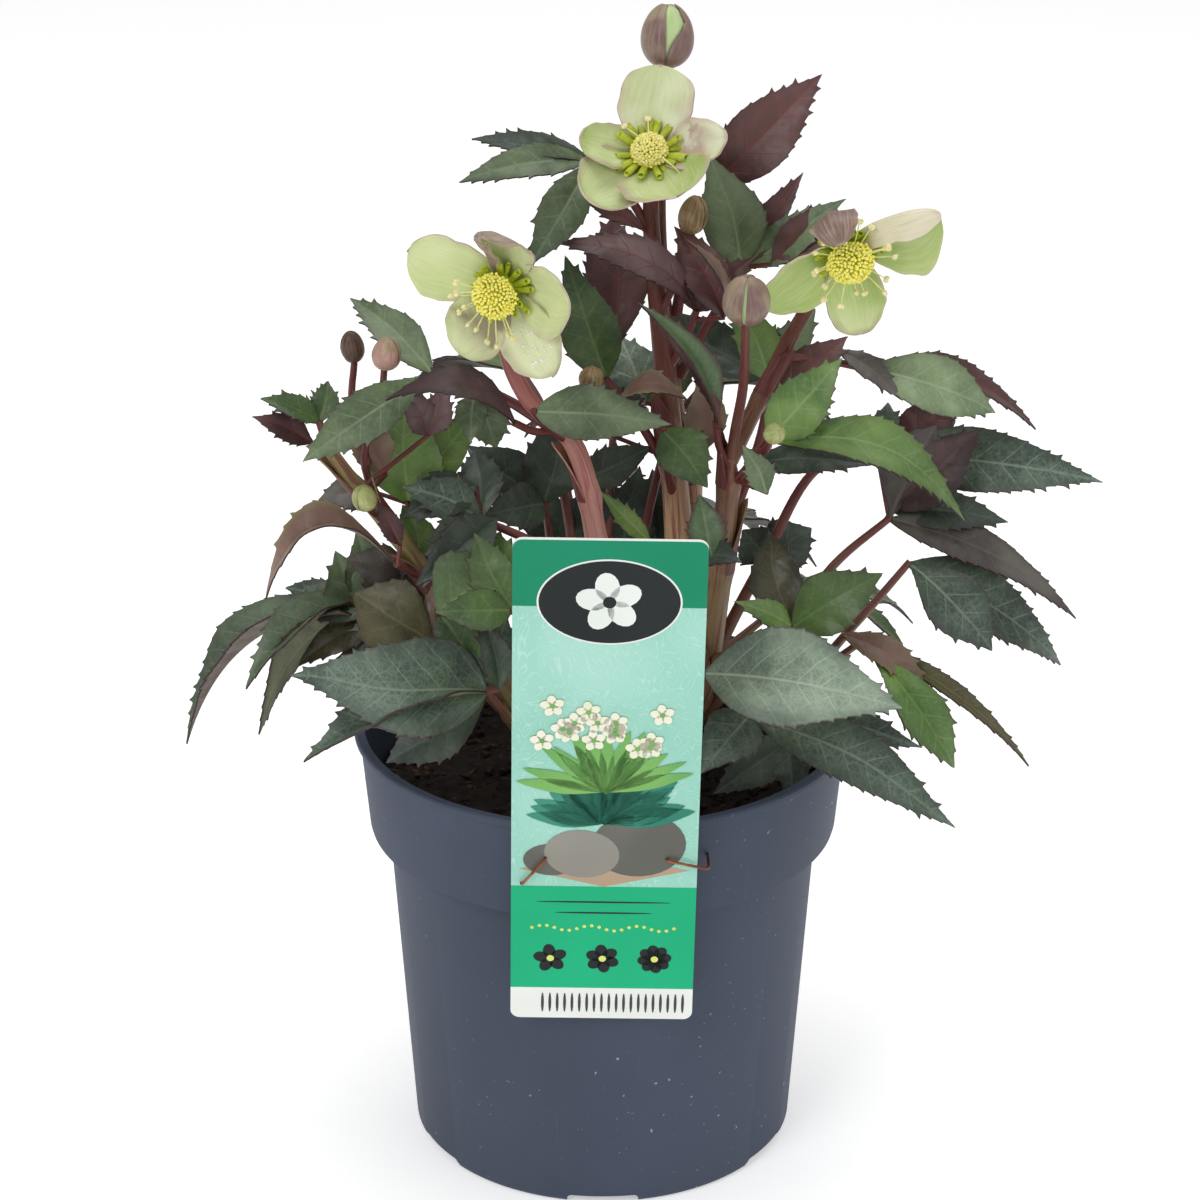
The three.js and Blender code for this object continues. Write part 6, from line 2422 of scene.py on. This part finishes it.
    def build(self) -> None:
        """Everything that carries leaves, blooms and buds."""
        parts = [self.crown(), *self.stump()]
        for number, stem in enumerate(self.main_stems()):
            parts.append(stem.build())
            parts += [stem.sheath(joint, 150 * i + 70 * number) for i, joint in enumerate(stem.joints)]
        parts += [stem.build(10) for stem in self.bud_stalks()]
        grown = [stem.route for stem in self.main_stems()]
        grown += [(*leaf.stalk, leaf.hub) for leaf in self.leaves if not leaf.extra]
        spines = np.vstack([smooth_route(route, 40) for route in grown])
        parts += [self.stalk(leaf, spines).build(12, 3) for leaf in self.leaves]
        settle(join("stems_and_stalks", parts), "stems", "stems")


# ---------------------------------------------------------------- studio
@dataclass
class Studio:
    """The pale floor, the soft lights and the camera."""

    camera_at: Point = (-0.743, -887.6, 535.0)
    pitch: float = 67.18             # degrees, 90 looks level
    lens: float = 103.96
    sensor: float = 36
    glow: float = 0.42               # strength of the surround, and of the floor's own light

    def floor(self) -> None:
        """A wide pale floor just under the pot."""
        floor = added(bpy.ops.mesh.primitive_plane_add, size=14)
        floor.name = "floor"
        recipe = Recipe("floor_paper", 0.9, 0.1)
        recipe.coat(recipe.noise(recipe.place(), 3, 2), "f7f7f7", "fbfbfb")
        recipe.paint()
        recipe.skin.inputs["Emission Color"].default_value = (1, 1, 1, 1)
        recipe.skin.inputs["Emission Strength"].default_value = self.glow
        dress(floor, recipe.material)

    def softbox(self, name: str, where: Point, size: float, power: float) -> None:
        """A square soft light that looks at the plant.

        Args:
            name: its name.
            where: its place, in metres.
            size: the length of its side, in metres.
            power: its power in watts.
        """
        lamp = bpy.data.lights.new(name, "AREA")
        lamp.size = size
        lamp.energy = power
        holder = bpy.data.objects.new(name, lamp)
        bpy.context.scene.collection.objects.link(holder)
        holder.location = where
        aim = Vector((0, 0, 0.17)) - Vector(where)
        holder.rotation_euler = aim.to_track_quat("-Z", "Y").to_euler()

    def world(self) -> None:
        """An even white surround."""
        world = bpy.data.worlds.new("surround")
        world.use_nodes = True
        world.node_tree.nodes["Background"].inputs["Color"].default_value = (1, 1, 1, 1)
        world.node_tree.nodes["Background"].inputs["Strength"].default_value = self.glow
        bpy.context.scene.world = world

    def camera(self) -> None:
        """The camera, level across and looking a little down."""
        eye = bpy.data.cameras.new("camera")
        eye.lens = self.lens
        eye.sensor_width = self.sensor
        eye.clip_end = 50
        holder = bpy.data.objects.new("camera", eye)
        bpy.context.scene.collection.objects.link(holder)
        holder.location = Vector(self.camera_at) * MM
        holder.rotation_euler = (math.radians(self.pitch), 0, 0)
        bpy.context.scene.camera = holder

    def build(self) -> None:
        """The whole studio."""
        bpy.context.scene.view_settings.view_transform = "Standard"
        self.camera()
        self.floor()
        self.world()
        self.softbox("key", (-0.8, -1.2, 1.3), 0.7, 8.5)
        self.softbox("fill", (1.2, -0.9, 0.9), 1.1, 3)
        self.softbox("top", (0.1, 0.25, 1.6), 1.1, 9)


def main() -> None:
    """Builds every piece in order."""
    logging.basicConfig(level=logging.INFO, format="%(message)s")
    Studio().build()
    pot = Pot()
    soil = Soil(pot)
    label = CareLabel(pot)
    leaves = [*LEAVES, *back_leaves(), *INNER_LEAVES]
    pot.build()
    soil.build()
    label.build()
    Staple("staple_left", (-21.6, 109), (-15.2, 117)).build(label)
    Staple("staple_right", (17, 116.6), (27.8, 114)).build(label)
    Stems(leaves, soil.top).build()
    for number, leaf in enumerate(leaves):
        leaf.build(number)
    for number, bloom in enumerate(BLOOMS):
        bloom.build(number)
    for bud in BUDS.values():
        bud.build()


if __name__ == "__main__":
    main()
